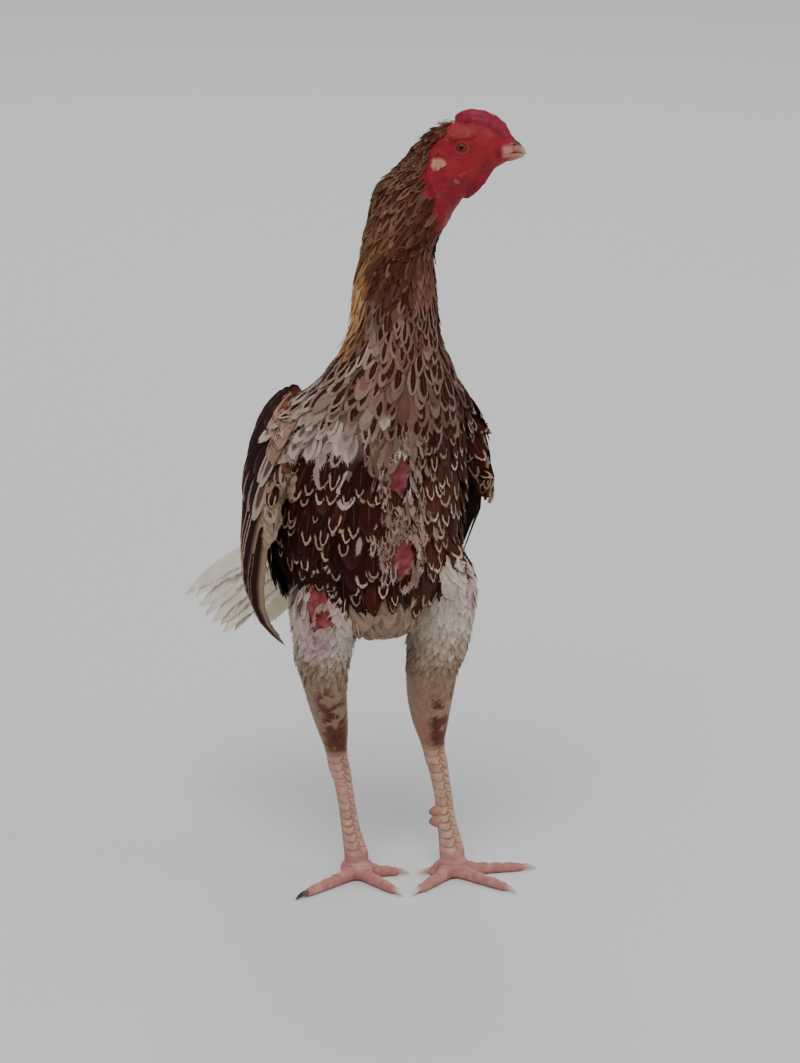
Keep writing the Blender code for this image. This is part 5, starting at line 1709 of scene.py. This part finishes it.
def make_head_skin():
    """The bare face, cheeks, lids, brows, chin folds and throat as one surface."""
    pieces = [outward(loft("head_form", head_levels()))]
    for side in (-1, 1):
        pieces.append(ball(head_place(-13.0, side * 8.5, -22.0), (16.5, 12.0, 16.0)))
        pieces.append(ball(head_place(33.0, side * 5.2, -3.5), (7.0, 4.6, 7.6)))
        pieces.append(wattle(side))
    form = remeshed(join("head_form", pieces), 0.8, 5)
    points = coordinates(form)
    for side in (-1, 1):
        points = eye_dent(points, side)
    place_vertices(form, points)
    folds = [form]
    turns = np.linspace(0, 2 * math.pi, 28, endpoint=False)
    for side in (-1, 1):
        # Lids: an inner rim and a finer outer one, a little pointed before and behind the eye.
        for along, tall, out, thick in LID_RIMS:
            reach = along * np.cos(turns)
            rise = tall * np.sin(turns) * (1.0 - 0.12 * np.cos(turns) ** 2)
            line = [head_place(a, side * (out - 0.035 * a * a * 0.4), b) for a, b in zip(reach, rise)]
            folds.append(rope(line, np.full(28, thick), closed=True))
        for line, radii in FACE_FOLDS:
            folds.append(rope([head_place(a, side * out, up) for a, up, out in line], radii))
    form = remeshed(join("head_form", folds), 0.7, 3)
    points = coordinates(form)
    local = head_local(points)
    bare = smooth(-3.0, 3.0, face_margin(points))
    push = 0.45 * speckles(points, 5.5, 1.0) + 0.28 * speckles(points, 2.3, 4.0)
    # Long folds run down the throat.
    around = np.degrees(np.arctan2(local[:, 1], local[:, 0] + 35.0))
    folded = smooth(-30.0, -48.0, local[:, 2])
    push += folded * 0.55 * np.sin(np.radians(around) * 9.0 + 0.05 * local[:, 2])
    # The corner of the mouth is drawn into the cheek.
    crease = np.abs(local[:, 2] + 6.6 + 0.18 * (37.0 - local[:, 0])) / 1.1
    mouth = smooth(1.3, 0.2, crease) * smooth(24.0, 30.0, local[:, 0])
    push -= 0.9 * mouth
    near_eye = local[:, 0] ** 2 / 30.0 + local[:, 2] ** 2 / 24.0
    push *= smooth(0.8, 1.6, near_eye)
    points = points + vertex_normals(form) * (push * bare)[:, None]
    place_vertices(form, points)
    return form, local, mouth


def face_tone(form, local, mouth):
    """The colours of the bare face."""
    points = coordinates(form)
    forward, _, up = local.T
    patch = speckles(points, 8.0, 2.0)
    fleck = speckles(points, 3.4, 6.0)
    above = smooth(1.5, 0.4, ((forward + 3.0) / 10.0) ** 2 + ((up - 13.0) / 5.5) ** 2)
    ring = np.sqrt((forward / 6.2) ** 2 + (up / 5.6) ** 2)
    # A painted highlight where the skin of the cheek folds, below the eye.
    fold_highlight = smooth(1.0, 0.3, ((forward + 3.5) / 2.6) ** 2 + ((up + 30.0 + 0.6 * forward) / 2.4) ** 2)
    return washed(
        (0.275, 0.0098, 0.0190),
        ((0.265, 0.017, 0.023), smooth(0.0, 0.5, patch) * 0.6),
        ((0.19, 0.004, 0.010), smooth(0.1, 0.5, -patch) * 0.6),
        # The throat, the skin over the eye, the lids and their rim, painted shade at the eye's edge in the
        # gap round the eyeball, and painted shade in the crease of the mouth.
        ((0.165, 0.003, 0.010), smooth(-20.0, -36.0, up) * 0.75),
        ((0.28, 0.032, 0.031), above * 0.5),
        ((0.24, 0.030, 0.026), band(ring, 0.62, 0.75, 1.15, 0.95) * 0.4),
        ((0.15, 0.006, 0.009), band(ring, 1.0, 1.12, 1.34, 1.2) * 0.4),
        # Painted shade: near-black skin in the gap between the lids and the eyeball.
        ((0.05, 0.006, 0.005), smooth(0.74, 0.6, ring)),
        # Painted shade along the crease at the corner of the mouth.
        ((0.10, 0.005, 0.006), mouth * 0.8),
        # The skin at the beak, flecks, a painted highlight where the cheek folds and the feathered border.
        ((0.55, 0.24, 0.19), smooth(31.0, 35.5, forward) * smooth(7.0, 3.0, np.abs(up + 4.0)) * 0.75),
        ((0.26, 0.020, 0.028), smooth(0.2, 0.75, fleck) * 0.2),
        ((0.50, 0.19, 0.18), fold_highlight * 0.42),
        ((0.075, 0.02, 0.010), smooth(-7.0, -12.0, face_margin(points))),
    )


# Points of the comb's ridge line, ahead and over the eye, seen from the side.
COMB_LINE = ((34.0, 3.0), (32.5, 9.5), (28.0, 15.5), (20.5, 20.6), (8.0, 23.3), (-7.0, 21.0))


def comb_ridge(left, lift, thick, bulbs, phase):
    """One row of the comb's lobes along its ridge line."""
    rows = [(index / (len(COMB_LINE) - 1), *spot) for index, spot in enumerate(COMB_LINE)]
    rings = []
    for part in np.arange(bulbs * 8 + 1) / (bulbs * 8):
        forward, up = cubic_rows(rows, part)
        nearer = cubic_rows(rows, max(part - 0.02, 0.0))
        farther = cubic_rows(rows, min(part + 0.02, 1.0))
        run = unit(head_place(farther[0], 0, farther[1]) - head_place(nearer[0], 0, nearer[1]))
        outwards = np.cross(run, HEAD_LEFT)
        outwards = outwards * np.sign(outwards[2])
        swell = 1.0 + 0.055 * math.sin(2 * math.pi * (bulbs * part + phase))
        end = min(1.0, math.sqrt(max(0.02, 1.0 - (abs(2 * part - 1.0)) ** 7)))
        half = thick * swell * end
        spread = 0.35 + 0.65 * math.sin(math.pi * min(part * 1.15, 1.0)) ** 0.5
        middle = head_place(forward, left * spread, up + lift)
        rings.append(oval(middle, half * 1.2, outwards, half, HEAD_LEFT, 20))
    return outward(loft("ridge", rings))


def make_comb():
    """A low fleshy cushion of three rows of soft lobes."""
    pieces = [comb_ridge(0.0, 0.2, 5.0, 6, 0.25)]
    for side in (-1, 1):
        pieces.append(comb_ridge(side * 5.2, -3.2, 4.6, 5, 0.1 if side < 0 else 0.4))
        pieces.append(ball(head_place(9.0, side * 5.0, 14.5), (15.0, 6.0, 4.5)))
    made = remeshed(join("comb", pieces), 0.6, 5)
    points = coordinates(made)
    push = 0.45 * speckles(points, 6.0, 3.0) + 0.16 * speckles(points, 1.9, 8.0)
    points = points + vertex_normals(made) * push[:, None]
    local = head_local(points)
    place_vertices(made, points)
    low = smooth(16.0, 9.0, local[:, 2]) * smooth(24.0, 10.0, local[:, 0])
    paint(made, "Tone", washed(
        (0.235, 0.009, 0.028),
        ((0.31, 0.024, 0.052), smooth(0.0, 0.5, speckles(points, 6.0, 5.0)) * 0.5),
        ((0.24, 0.012, 0.018), low * 0.6),
    ))
    dress(made, SKIN, "comb_skin", "comb")


def make_lobes():
    for side, key in ((-1, "r"), (1, "l")):
        pieces = [
            ball(head_place(-18.0, side * 17.5, -16.0), (8.6, 2.0, 5.2), tilt=0.15),
            ball(head_place(-19.4, side * 17.5, -11.6), (7.0, 2.0, 4.6)),
        ]
        made = remeshed(join("earlobe_skin_" + key, pieces), 0.5, 4)
        points = coordinates(made)
        push = 0.3 * speckles(points, 2.4, 3.0) + 0.15 * speckles(points, 1.0, 7.0)
        place_vertices(made, points + vertex_normals(made) * push[:, None])
        local = head_local(points)
        across = np.abs((local[:, 0] + 18.6) / 1.25) ** 3
        away = (across + np.abs(local[:, 2] + 14.2) ** 3) ** (1.0 / 3.0) + 1.1 * speckles(points, 2.8, 9.0)
        paint(made, "Tone", washed(
            (0.52, 0.25, 0.19),
            ((0.33, 0.060, 0.055), np.clip(0.35 + 1.1 * speckles(points, 3.4, 1.0), 0, 1)),
            ((0.235, 0.012, 0.020), smooth(3.4, 6.6, away)),
        ))
        dress(made, SKIN, "lobe_skin", "earlobe_" + key)


# Angles from the pupil's middle of the rings of points of an eyeball.
PUPIL_RINGS = np.linspace(1, 16, 6)
IRIS_RINGS = np.linspace(19, 60, 28)
BALL_RINGS = np.linspace(70, 178, 14)


def make_eyes():
    """Eyeballs whose rings of points run round the pupil."""
    turns = np.linspace(0, 2 * math.pi, 64, endpoint=False)
    fibres = 0.5 + 0.5 * np.sin(turns * 23.0 + 1.7 * np.sin(turns * 7.0))
    for side, key in ((-1, "r"), (1, "l")):
        middle = head_place(0.0, side * EYE_OUT, 0.0)
        rings = []
        tones = []
        for degrees in np.concatenate([PUPIL_RINGS, (17.5,), IRIS_RINGS, BALL_RINGS]):
            # The cornea bulges a little over the iris.
            reach = EYE_RADIUS * (1.0 + 0.035 * float(smooth(44.0, 20.0, degrees)))
            centre = middle + HEAD_LEFT * side * reach * math.cos(math.radians(degrees))
            wide = reach * math.sin(math.radians(degrees))
            rings.append(oval(centre, wide, HEAD_AHEAD, wide, UP, 64))
            if degrees < 16.5:
                tones.append(np.tile((0.004, 0.002, 0.002), (64, 1)))
                continue
            colour = mix((0.11, 0.015, 0.009), (0.20, 0.028, 0.018), smooth(17.0, 28.0, degrees))
            colour = colour * (0.75 + 0.25 * fibres)[:, None]
            tones.append(mix(colour, (0.10, 0.03, 0.02), float(smooth(40.0, 50.0, degrees))))
        made = outward(loft("eyeball_" + key, rings))
        paint(made, "Tone", np.concatenate(tones))
        dress(made, EYE, "eye", "eye_" + key)


# place along the head, top, bottom, half width
BEAK_TOP_ROWS = ((35.5, 6.6, -5.0, 8.4), (37.3, 6.4, -5.2, 8.4), (40.5, 5.6, -5.4, 7.5),
                 (44.0, 3.6, -5.8, 6.0), (47.5, 0.8, -6.4, 4.2), (50.2, -2.6, -7.2, 2.5),
                 (51.6, -5.8, -8.0, 0.9))
BEAK_BOTTOM_ROWS = ((35.5, -4.6, -13.6, 7.2), (37.3, -4.6, -13.4, 7.2), (40.5, -4.8, -12.9, 6.4),
                    (44.0, -5.0, -11.6, 5.1), (47.0, -5.6, -10.4, 3.6), (49.6, -6.7, -9.4, 1.6))
# The ridge of the upper beak, by place along the head.
BEAK_RIDGE = ((35.0, 6.6), (40.5, 5.6), (44.0, 3.6), (47.5, 0.8), (51.6, -5.8))


def beak_half(name, rows):
    turns = np.linspace(0, 2 * math.pi, 40, endpoint=False)
    up = np.cos(turns)
    across = np.sign(np.sin(turns)) * np.abs(np.sin(turns)) ** 0.9
    narrow = 1.0 - 0.3 * (np.maximum(up, 0.0) ** 1.5 if name == "beak_top" else np.maximum(-up, 0.0))
    rings = []
    for forward in np.linspace(rows[0][0], rows[-1][0], 44):
        top, bottom, half = cubic_rows(rows, forward)
        ring = head_place(forward, 0.0, (top + bottom) / 2) + np.outer(up * (top - bottom) / 2, UP)
        rings.append(ring + np.outer(across * narrow * half, HEAD_LEFT))
    return outward(loft(name, rings))


def make_beak():
    upper = beak_half("beak_top", BEAK_TOP_ROWS)
    points = coordinates(upper)
    forward, left, height = head_local(points).T
    # Nostrils are slits under a small flap on each side.
    slit = ((forward - 41.6) / 2.6) ** 2 + ((height - 1.2 + 0.12 * (forward - 41.6)) / 0.9) ** 2
    hole = smooth(1.5, 0.5, slit)
    flap = smooth(1.6, 0.6, ((forward - 40.8) / 3.4) ** 2 + ((height - 2.9) / 1.3) ** 2)
    place_vertices(upper, points + HEAD_LEFT * (np.sign(left) * (0.6 * flap - 1.3 * hole))[:, None])
    ridge = smooth(3.6, 1.4, cubic_rows(BEAK_RIDGE, forward)[:, 0] - height)
    paint(upper, "Tone", washed(
        (0.36, 0.145, 0.105),
        ((0.055, 0.016, 0.014), ridge * smooth(49.0, 46.0, forward) * 0.9),
        ((0.38, 0.33, 0.24), smooth(46.0, 50.0, forward) * 0.8),
        ((0.30, 0.05, 0.045), smooth(40.0, 37.0, forward) * 0.7),
        # The nostril slits are painted near-black: painted shade inside the openings.
        ((0.03, 0.010, 0.009), hole),
    ))
    lower = beak_half("beak_bottom", BEAK_BOTTOM_ROWS)
    forward = head_local(coordinates(lower))[:, 0]
    paint(lower, "Tone", washed(
        (0.34, 0.125, 0.095),
        ((0.36, 0.27, 0.20), smooth(43.0, 48.0, forward) * 0.7),
        ((0.28, 0.04, 0.04), smooth(41.0, 37.5, forward) * 0.7),
    ))
    dress(upper, HORN, "horn", "beak_upper")
    dress(lower, HORN, "horn", "beak_lower")


# Legs and feet

PAD_REACH = 15.0
# share of the length, half width, height of the top
TOE_ROWS = ((0.0, 5.8, 11.5), (0.25, 5.4, 9.6), (0.6, 4.9, 8.4), (0.9, 4.2, 7.4), (1.0, 3.4, 6.2))


def toe_form(pad, number, direction, flesh):
    ahead, left = heading(np.array(direction))
    turns = np.linspace(0, 2 * math.pi, 24, endpoint=False)
    up = np.cos(turns)
    across = np.sin(turns)
    rings = []
    for reach in np.linspace(2.0, flesh, 40):
        share = max(0.0, (reach - PAD_REACH) / (flesh - PAD_REACH))
        half, top = cubic_rows(TOE_ROWS, share)
        # A toe swells at its joints, which are as many as its number.
        joint = math.cos(2 * math.pi * number * share) if share > 0 else 1.0
        half = half * (1.0 + 0.07 * joint)
        top = top * (1.0 + 0.05 * joint)
        end = math.sqrt(max(0.05, 1.0 - max(0.0, (reach - flesh + 4.0) / 4.4) ** 2))
        centre = np.array((pad[0], pad[1], 0.0)) + ahead * reach + UP * (top * 0.42)
        height = np.where(up > 0, top * 0.58 * up, (top * 0.42 + 0.3) * up) * end
        rings.append(centre + np.outer(height, UP) + np.outer(across * half * end, left))
    return outward(loft("toe", rings))


# The distance between the rows of a honeycomb, over the distance between cells of a row.
ROW_SHARE = 0.866


def hexes(u, v, pitch):
    """How near points are to the edge between cells of a honeycomb, 1 at their middle."""
    best = np.full(u.shape, 1e9)
    second = np.full(u.shape, 1e9)
    row = np.round(v / (pitch * ROW_SHARE))
    for step in (-1, 0, 1):
        line = row + step
        shift = 0.5 * (np.mod(line, 2.0))
        column = np.round(u / pitch - shift)
        for beside in (-1, 0, 1):
            cu = (column + beside + shift) * pitch
            cv = line * pitch * ROW_SHARE
            cu = cu + 0.16 * pitch * np.sin(cu * 3.1 + cv * 1.7)
            cv = cv + 0.16 * pitch * np.sin(cu * 1.3 - cv * 2.9)
            away = np.hypot(u - cu, v - cv)
            second = np.where(away < best, best, np.minimum(second, away))
            best = np.minimum(best, away)
    return np.clip((second - best) / pitch, 0.0, 1.0)


PLATE_PITCH = 6.4
TOE_PLATE_PITCH = 4.3
SHANK_RADIUS = 8.5


def scale_relief(points, normals):
    """The height of the scales on the legs and feet, and how deep in a groove a point lies."""
    push = np.zeros(len(points))
    groove = np.zeros(len(points))
    for key in ("r", "l"):
        mine = (points[:, 0] < 0) if key == "r" else (points[:, 0] >= 0)
        z = points[:, 2]
        x0, y0 = cubic_rows(SHANKS[key].rows, np.clip(z, 22.0, 100.0)).T[:2]
        angle = np.degrees(np.arctan2(points[:, 0] - x0, -(points[:, 1] - y0)))
        # Two staggered columns of wide plates down the front, small scales behind.
        wave = np.abs(np.mod(z / PLATE_PITCH, 1.0) - 0.5) * 4.0 - 1.0
        angle = angle - 9.0 * wave * smooth(60.0, 20.0, np.abs(angle))
        column = np.where(angle > 0, 1.0, 0.0)
        rise = (z - 1.9 * ((np.abs(angle) - 45.0) / 45.0) ** 2 + 0.5 * np.sin(z * 0.9)) / PLATE_PITCH
        t = np.mod(rise + 0.5 * column, 1.0)
        plate = 0.5 * (1.0 - t) * smooth(0.0, 0.10, t) + 0.10
        gap = np.minimum(np.abs(angle), np.abs(np.abs(angle) - 98.0)) * math.pi / 180.0 * SHANK_RADIUS
        between = smooth(0.9, 0.2, gap)
        front = smooth(104.0, 96.0, np.abs(angle))
        plate = plate * (1 - between)
        plate_groove = np.maximum(smooth(0.14, 0.02, t) + smooth(0.93, 1.0, t), between)
        cell = hexes(np.radians(angle) * SHANK_RADIUS, z, 3.4)
        pebble = 0.42 * smooth(0.05, 0.5, cell)
        pebble_groove = smooth(0.28, 0.05, cell)
        shank_push = plate * front + pebble * (1 - front)
        shank_groove = plate_groove * front + pebble_groove * (1 - front)
        on_shank = band(z, 20.0, 27.0, 116.0, 104.0)
        # Toes: plates across the top, pebbles on the sides and sole.
        pad = np.array(PADS[key])
        away = points[:, :2] - pad
        best = np.full(len(points), 1e9)
        along = np.zeros(len(points))
        beside = np.zeros(len(points))
        for _, direction, _, _ in TOES[key]:
            ahead, left = heading(np.array(direction))
            a = away @ ahead[:2]
            b = away @ left[:2]
            distance = np.where(a > 0, np.abs(b), np.hypot(a, b))
            nearer = distance < best
            along = np.where(nearer, a, along)
            beside = np.where(nearer, b, beside)
            best = np.minimum(best, distance)
        t = np.mod((along + 0.04 * beside**2) / TOE_PLATE_PITCH, 1.0)
        stripe = 0.42 * t * smooth(1.0, 0.88, t) + 0.08
        stripe_groove = smooth(0.86, 0.99, t) + smooth(0.10, 0.0, t)
        top = smooth(0.25, 0.6, normals[:, 2])
        cell = hexes(points[:, 0] + 0.3 * points[:, 1], points[:, 1] - 0.3 * points[:, 0] + 1.2 * z, 3.0)
        pebble = 0.30 * smooth(0.05, 0.5, cell)
        pebble_groove = smooth(0.26, 0.05, cell)
        toe_push = stripe * top + pebble * (1 - top)
        toe_groove = np.minimum(stripe_groove, 1.0) * top + 0.7 * pebble_groove * (1 - top)
        on_toe = smooth(27.0, 20.0, z)
        push = np.where(mine, shank_push * on_shank + toe_push * on_toe, push)
        groove = np.where(mine, shank_groove * on_shank + toe_groove * on_toe, groove)
    return push, np.clip(groove, 0.0, 1.0)


LEG_TOP = 128.0


def make_leg_skin():
    """Shanks, feet and toes as one scaled surface, its top hidden in the drumsticks."""
    pieces = []
    for key in ("r", "l"):
        pad = PADS[key]
        shank = SHANKS[key]
        thigh = THIGHS[key]
        rings = []
        base = shank.rows[0]
        foot_ring = shank.ring(shank.low, 36)
        for z in (6.0, 11.0, 16.0):
            share = (shank.low - z) / (shank.low - 6.0)
            shift = np.array(((pad[0] - base[1]) * share, (pad[1] - base[2]) * share, z - shank.low))
            rings.append(foot_ring + shift)
        rings += [shank.ring(z, 36) for z in np.arange(22.0, 100.0, 2.0)]
        for z in np.arange(102.0, LEG_TOP, 3.0):
            rings.append(thigh.ring(z, 36, -1.6 * float(smooth(104.0, 124.0, z))))
        pieces.append(outward(loft("shank_form", rings)))
        pieces.append(ball((pad[0], pad[1], 8.2), (15.0, 14.4, 10.2), 0.0))
        for number, direction, flesh, _ in TOES[key]:
            pieces.append(toe_form(pad, number, direction, flesh))
    form = remeshed(join("leg_form", pieces), 0.8, 4)
    points = coordinates(form)
    normals = vertex_normals(form)
    push, groove = scale_relief(points, normals)
    push = push - 0.35
    points = points + normals * push[:, None]
    points[:, 2] = np.maximum(points[:, 2], 0.02)
    place_vertices(form, points)
    z = points[:, 2]
    ground = np.where((points[:, 0] < 0)[:, None], (0.44, 0.24, 0.185), (0.42, 0.26, 0.17))
    tone = washed(
        ground,
        ((0.44, 0.185, 0.16), smooth(34.0, 14.0, z)),
        ((0.60, 0.38, 0.30), smooth(0.0, 0.5, speckles(points, 9.0, 2.0)) * 0.4),
        ((0.45, 0.12, 0.10), smooth(0.2, 0.6, speckles(points, 3.0, 6.0)) * 0.3),
        ((0.17, 0.07, 0.04), groove * (0.62 * smooth(8.0, 26.0, z) + 0.38) * 0.8),
    )
    return form, drumstick_tone(points, tone)


# Stains above the hocks: their lowest and highest height, and their middle and reach in degrees.
STAINS = {"r": (104.0, 184.0, -14.0, 62.0), "l": (104.0, 196.0, 8.0, 40.0)}


def drumstick_tone(points, tone):
    """Tan stubbled skin with dark stains above the hocks."""
    z = points[:, 2]
    stain = np.zeros(len(points))
    rosy = np.zeros(len(points))
    for key, (lowest, highest, turn, wide) in STAINS.items():
        mine = points[:, 0] < 0 if key == "r" else points[:, 0] >= 0
        away = np.abs(wrapped(THIGHS[key].angle(points) - turn)) / wide
        within = smooth(lowest - 4, lowest + 8, z) * smooth(highest, highest - 22, z)
        blot = speckles(points, 9.0, 1.5) + 0.5 * speckles(points, 3.6, 4.5)
        lower = 0.75 * smooth(146.0, 116.0, z)
        here = within * smooth(1.2, 0.6, away + 0.3 * blot) * smooth(-0.08, 0.08, blot - 0.1 + lower)
        stain = np.where(mine, here, stain)
        rosy = np.where(mine, smooth(0.6, 1.4, away) * smooth(150.0, 112.0, z), rosy)
    grain = speckles(points, 1.9, 8.0)
    bare = washed((0.27, 0.165, 0.105), ((0.34, 0.125, 0.095), 0.6 * rosy))
    bare = bare * (1.0 + 0.28 * grain)[:, None]
    dried = washed((0.036, 0.007, 0.003), ((0.16, 0.028, 0.009), np.clip(0.4 + grain, 0.0, 1.0)))
    bare = washed(bare, (dried, 0.94 * stain))
    return washed(tone, (bare, smooth(100.0, 109.0, z)))


# part of the length, height, half width, half height
CLAW_ROWS = ((0.0, 3.7, 2.5, 2.5), (0.35, 3.9, 2.0, 2.2), (0.7, 3.0, 1.35, 1.5), (1.0, 1.4, 0.35, 0.45))
# Colours of the root and the end of a claw; one claw is dark.
CLAW_TONES = ((0.50, 0.26, 0.21), (0.62, 0.54, 0.44))
DARK_CLAW_TONES = ((0.16, 0.06, 0.045), (0.012, 0.009, 0.008))
DARK_CLAW = ("r", 4)


def make_claws():
    for key, toes in TOES.items():
        pad = PADS[key]
        for number, direction, flesh, length in toes:
            ahead, left = heading(np.array(direction))
            rings = []
            for share in np.linspace(0.0, 1.0, 18):
                up, half, tall = cubic_rows(CLAW_ROWS, share)
                middle = np.array((pad[0], pad[1], up)) + ahead * (flesh - 1.5 + (length + 1.5) * share)
                rings.append(oval(middle, tall, UP, half, left, 20))
            made = outward(loft("nail_" + key + str(number), rings))
            reach = (coordinates(made)[:, :2] - np.array(pad)) @ ahead[:2]
            dark = (key, number) == DARK_CLAW
            root, end = DARK_CLAW_TONES if dark else CLAW_TONES
            paint(made, "Tone", washed(root, (end, smooth(0.0, 0.7, (reach - flesh) / length))))
            dress(made, HORN, "dark_horn" if dark else "horn", "claw_" + key + str(number))


def spur_bump(key, height, size, ahead):
    """One blunt bump on the inner side of a shank."""
    side = -1 if key == "r" else 1
    x, y, _, _, half, _ = cubic_rows(SHANKS[key].rows, height)
    inner = unit(np.array((-side, ahead, -0.1)))
    across = unit(np.cross(inner, UP))
    upright = np.cross(across, inner)
    rows = ((half - 5.0, 7.2), (half - 1.0, 6.6), (half + 2.4, 5.0), (half + 5.0, 3.6), (half + 7.0, 1.6))
    rings = []
    for reach in np.linspace(rows[0][0], rows[-1][0], 22):
        wide = size * cubic_rows(rows, reach)[0] * (1.0 + 0.03 * math.sin(reach * 3.0))
        middle = np.array((x, y, height)) + inner * (half + (reach - half) * size)
        rings.append(oval(middle, wide, upright, wide, across, 28))
    made = outward(loft("bump", rings))
    share = smooth(half + 1.0, half + 6.0, (coordinates(made) - np.array((x, y, height))) @ inner)
    paint(made, "Tone", washed((0.40, 0.18, 0.13), ((0.24, 0.15, 0.10), share)))
    return made


# Height, size and lean ahead of each blunt bump.
SPUR_BUMPS = {"r": ((52.0, 0.6, 1.3),), "l": ((52.5, 0.85, 0.3), (44.5, 0.95, 0.5))}


def make_spurs():
    for key, bumps in SPUR_BUMPS.items():
        made = join("spur_bud_" + key, [spur_bump(key, *bump) for bump in bumps])
        dress(made, HORN, "horn", "spur_" + key)


# Camera, floor and light

FLOOR_REACH = 60.0
FLOOR_SIDES = 64
FLOOR_COLOUR = (0.72, 0.72, 0.71, 1.0)
SKY_COLOUR = (0.95, 0.97, 1.0, 1.0)
SKY_STRENGTH = 0.46
SUN_STRENGTH = 0.92
SUN_ANGLE = math.radians(40.0)
SUN_FROM = (-0.6, -1.0, 1.9)
LAMP_TARGET = (0, 0, 0.35)
# name, place in metres, size, power
LAMPS = (
    ("key", (-2.2, -3.5, 5.2), 3.0, 110.0),
    ("fill", (4.0, -2.6, 2.6), 3.4, 60.0),
    ("rim", (1.4, 3.8, 3.8), 2.4, 50.0),
)


def make_stage():
    camera = new_object("camera", bpy.data.cameras.new("camera"))
    base = BASE * MM
    camera.location = Vector(CAMERA_AT + base)
    aim = Vector(CAMERA_TARGET + base) - camera.location
    camera.rotation_euler = aim.to_track_quat("-Z", "Y").to_euler()
    camera.data.lens = CAMERA_LENS
    camera.data.sensor_width = 36.0
    bpy.context.scene.camera = camera
    turns = np.linspace(0, 2 * math.pi, FLOOR_SIDES, endpoint=False)
    points = [(FLOOR_REACH * math.cos(turn), FLOOR_REACH * math.sin(turn), 0.0) for turn in turns]
    mesh = bpy.data.meshes.new("floor")
    mesh.from_pydata(points, [], [tuple(range(FLOOR_SIDES))])
    mesh.shade_smooth()
    floor = new_object("floor", mesh)
    made, _, shader = new_material("floor")
    shader.inputs["Base Color"].default_value = FLOOR_COLOUR
    shader.inputs["Roughness"].default_value = 0.85
    mesh.materials.append(made)
    world = bpy.data.worlds.new("world")
    world.use_nodes = True
    sky = world.node_tree.nodes["Background"]
    sky.inputs["Color"].default_value = SKY_COLOUR
    sky.inputs["Strength"].default_value = SKY_STRENGTH
    bpy.context.scene.world = world
    sun = new_object("sun", bpy.data.lights.new("sun", "SUN"))
    sun.data.energy = SUN_STRENGTH
    sun.data.angle = SUN_ANGLE
    sun.rotation_euler = Vector(SUN_FROM).to_track_quat("Z", "Y").to_euler()
    for name, place, size, power in LAMPS:
        lamp = new_object(name, bpy.data.lights.new(name, "AREA"))
        lamp.data.size = size
        lamp.data.energy = power
        lamp.location = place
        lamp.rotation_euler = (Vector(LAMP_TARGET) - Vector(place)).to_track_quat("-Z", "Y").to_euler()


def colour_body(form):
    """Raises the bare patches and colours the skin: maroon, tan on the drumsticks, red where bare."""
    points = coordinates(form)
    normals = vertex_normals(form)
    turned = TRUNK.angle(points)
    edge = np.array([cubic_rows(DARK_EDGE, float(angle))[0] for angle in turned])
    cream = smooth(-8.0, 4.0, points[:, 2] - edge) * smooth(150.0, 120.0, np.abs(turned))
    throat = smooth(-6.0, 0.0, face_margin(points)) * smooth(528.0, 540.0, points[:, 2])
    tone = washed(
        (0.030, 0.007, 0.005),
        ((0.16, 0.09, 0.068), cream),
        (UMBER, smooth(495.0, 525.0, points[:, 2])),
        ((0.26, 0.16, 0.10), smooth(248.0, 236.0, points[:, 2])),
    )
    tone = washed(tone, (drumstick_tone(points, tone), smooth(186.0, 170.0, points[:, 2])))
    tone = washed(tone, ((0.15, 0.004, 0.010), throat))
    lift = np.zeros(len(points))
    for index, point in enumerate(points):
        if abs(turned[index]) < 40.0 and point[1] < BODY_Y and abs(point[0] - BODY_X) < 40.0:
            share = bare_share(point[2], turned[index], BARE_PATCHES)
        else:
            key = "r" if point[0] < BODY_X + 25.0 else "l"
            share = 0.0
            if point[2] < 285.0 and point[1] < 20.0:
                share = bare_share(point[2], float(THIGHS[key].angle(point)), THIGH_PATCHES[key])
        if share > 0.0:
            grain = speckle(point, 5.5, 2.0)
            red = mix((0.14, 0.010, 0.017), (0.25, 0.055, 0.058), np.clip(0.4 + 1.1 * grain, 0.0, 1.0))
            if point[2] < 270.0 and point[0] < BODY_X:
                red = 1.25 * red
            red = mix((0.36, 0.17, 0.14), red, float(smooth(0.3, 0.95, share)))
            tone[index] = mix(tone[index], red, float(smooth(0.0, 0.3, share)))
            lift[index] = share * (1.6 + 1.5 * grain + 0.8 * speckle(point, 2.6, 6.0))
    place_vertices(form, points + normals * lift[:, None])
    paint(form, "Tone", tone)


make_stage()
body = body_form(SKIN_DEPTH)
head, head_spots, mouth = make_head_skin()
legs, leg_tone = make_leg_skin()
colour_body(body)
paint(head, "Tone", face_tone(head, head_spots, mouth))
paint(legs, "Tone", leg_tone)
lie = tree_of(join("lie", [body.copy(), head.copy()]))
pairs = [part + "_" + key for part in ("thigh", "shank", "foot", "wattle") for key in "rl"]
toes = ["toe_" + key + str(number) for key in "rl" for number in (1, 2, 3, 4)]
dress(join("skin", [body, head, legs]), SKIN, "red_skin", "torso", "neck", "head", *pairs, *toes)
bpy.data.objects.remove(bpy.data.objects["lie"])
trunk_coats = make_trunk_coat(lie)
make_cape(trunk_coats[0], lie)
make_parting(trunk_coats[1], lie)
make_tufts(trunk_coats[1], lie, TRUNK, trunk_uv, BARE_PATCHES, 34, 12.0)
for coat, slot in zip(trunk_coats, ("feather_neck", "feather_dark", "feather_dark")):
    coat.build(slot)
for (key, thigh), coat in zip(THIGHS.items(), make_thigh_coats(lie)):
    make_tufts(coat, lie, thigh, partial(thigh_uv, key), THIGH_PATCHES[key], 24, 7.0)
    coat.build("feather_cream")
for side, key in ((-1, "r"), (1, "l")):
    make_wing(side, key, lie).build("feather_dark", "wing_" + key)
make_tail_coat().build("feather_cream", "tail")
make_comb()
make_lobes()
make_eyes()
make_beak()
make_claws()
make_spurs()
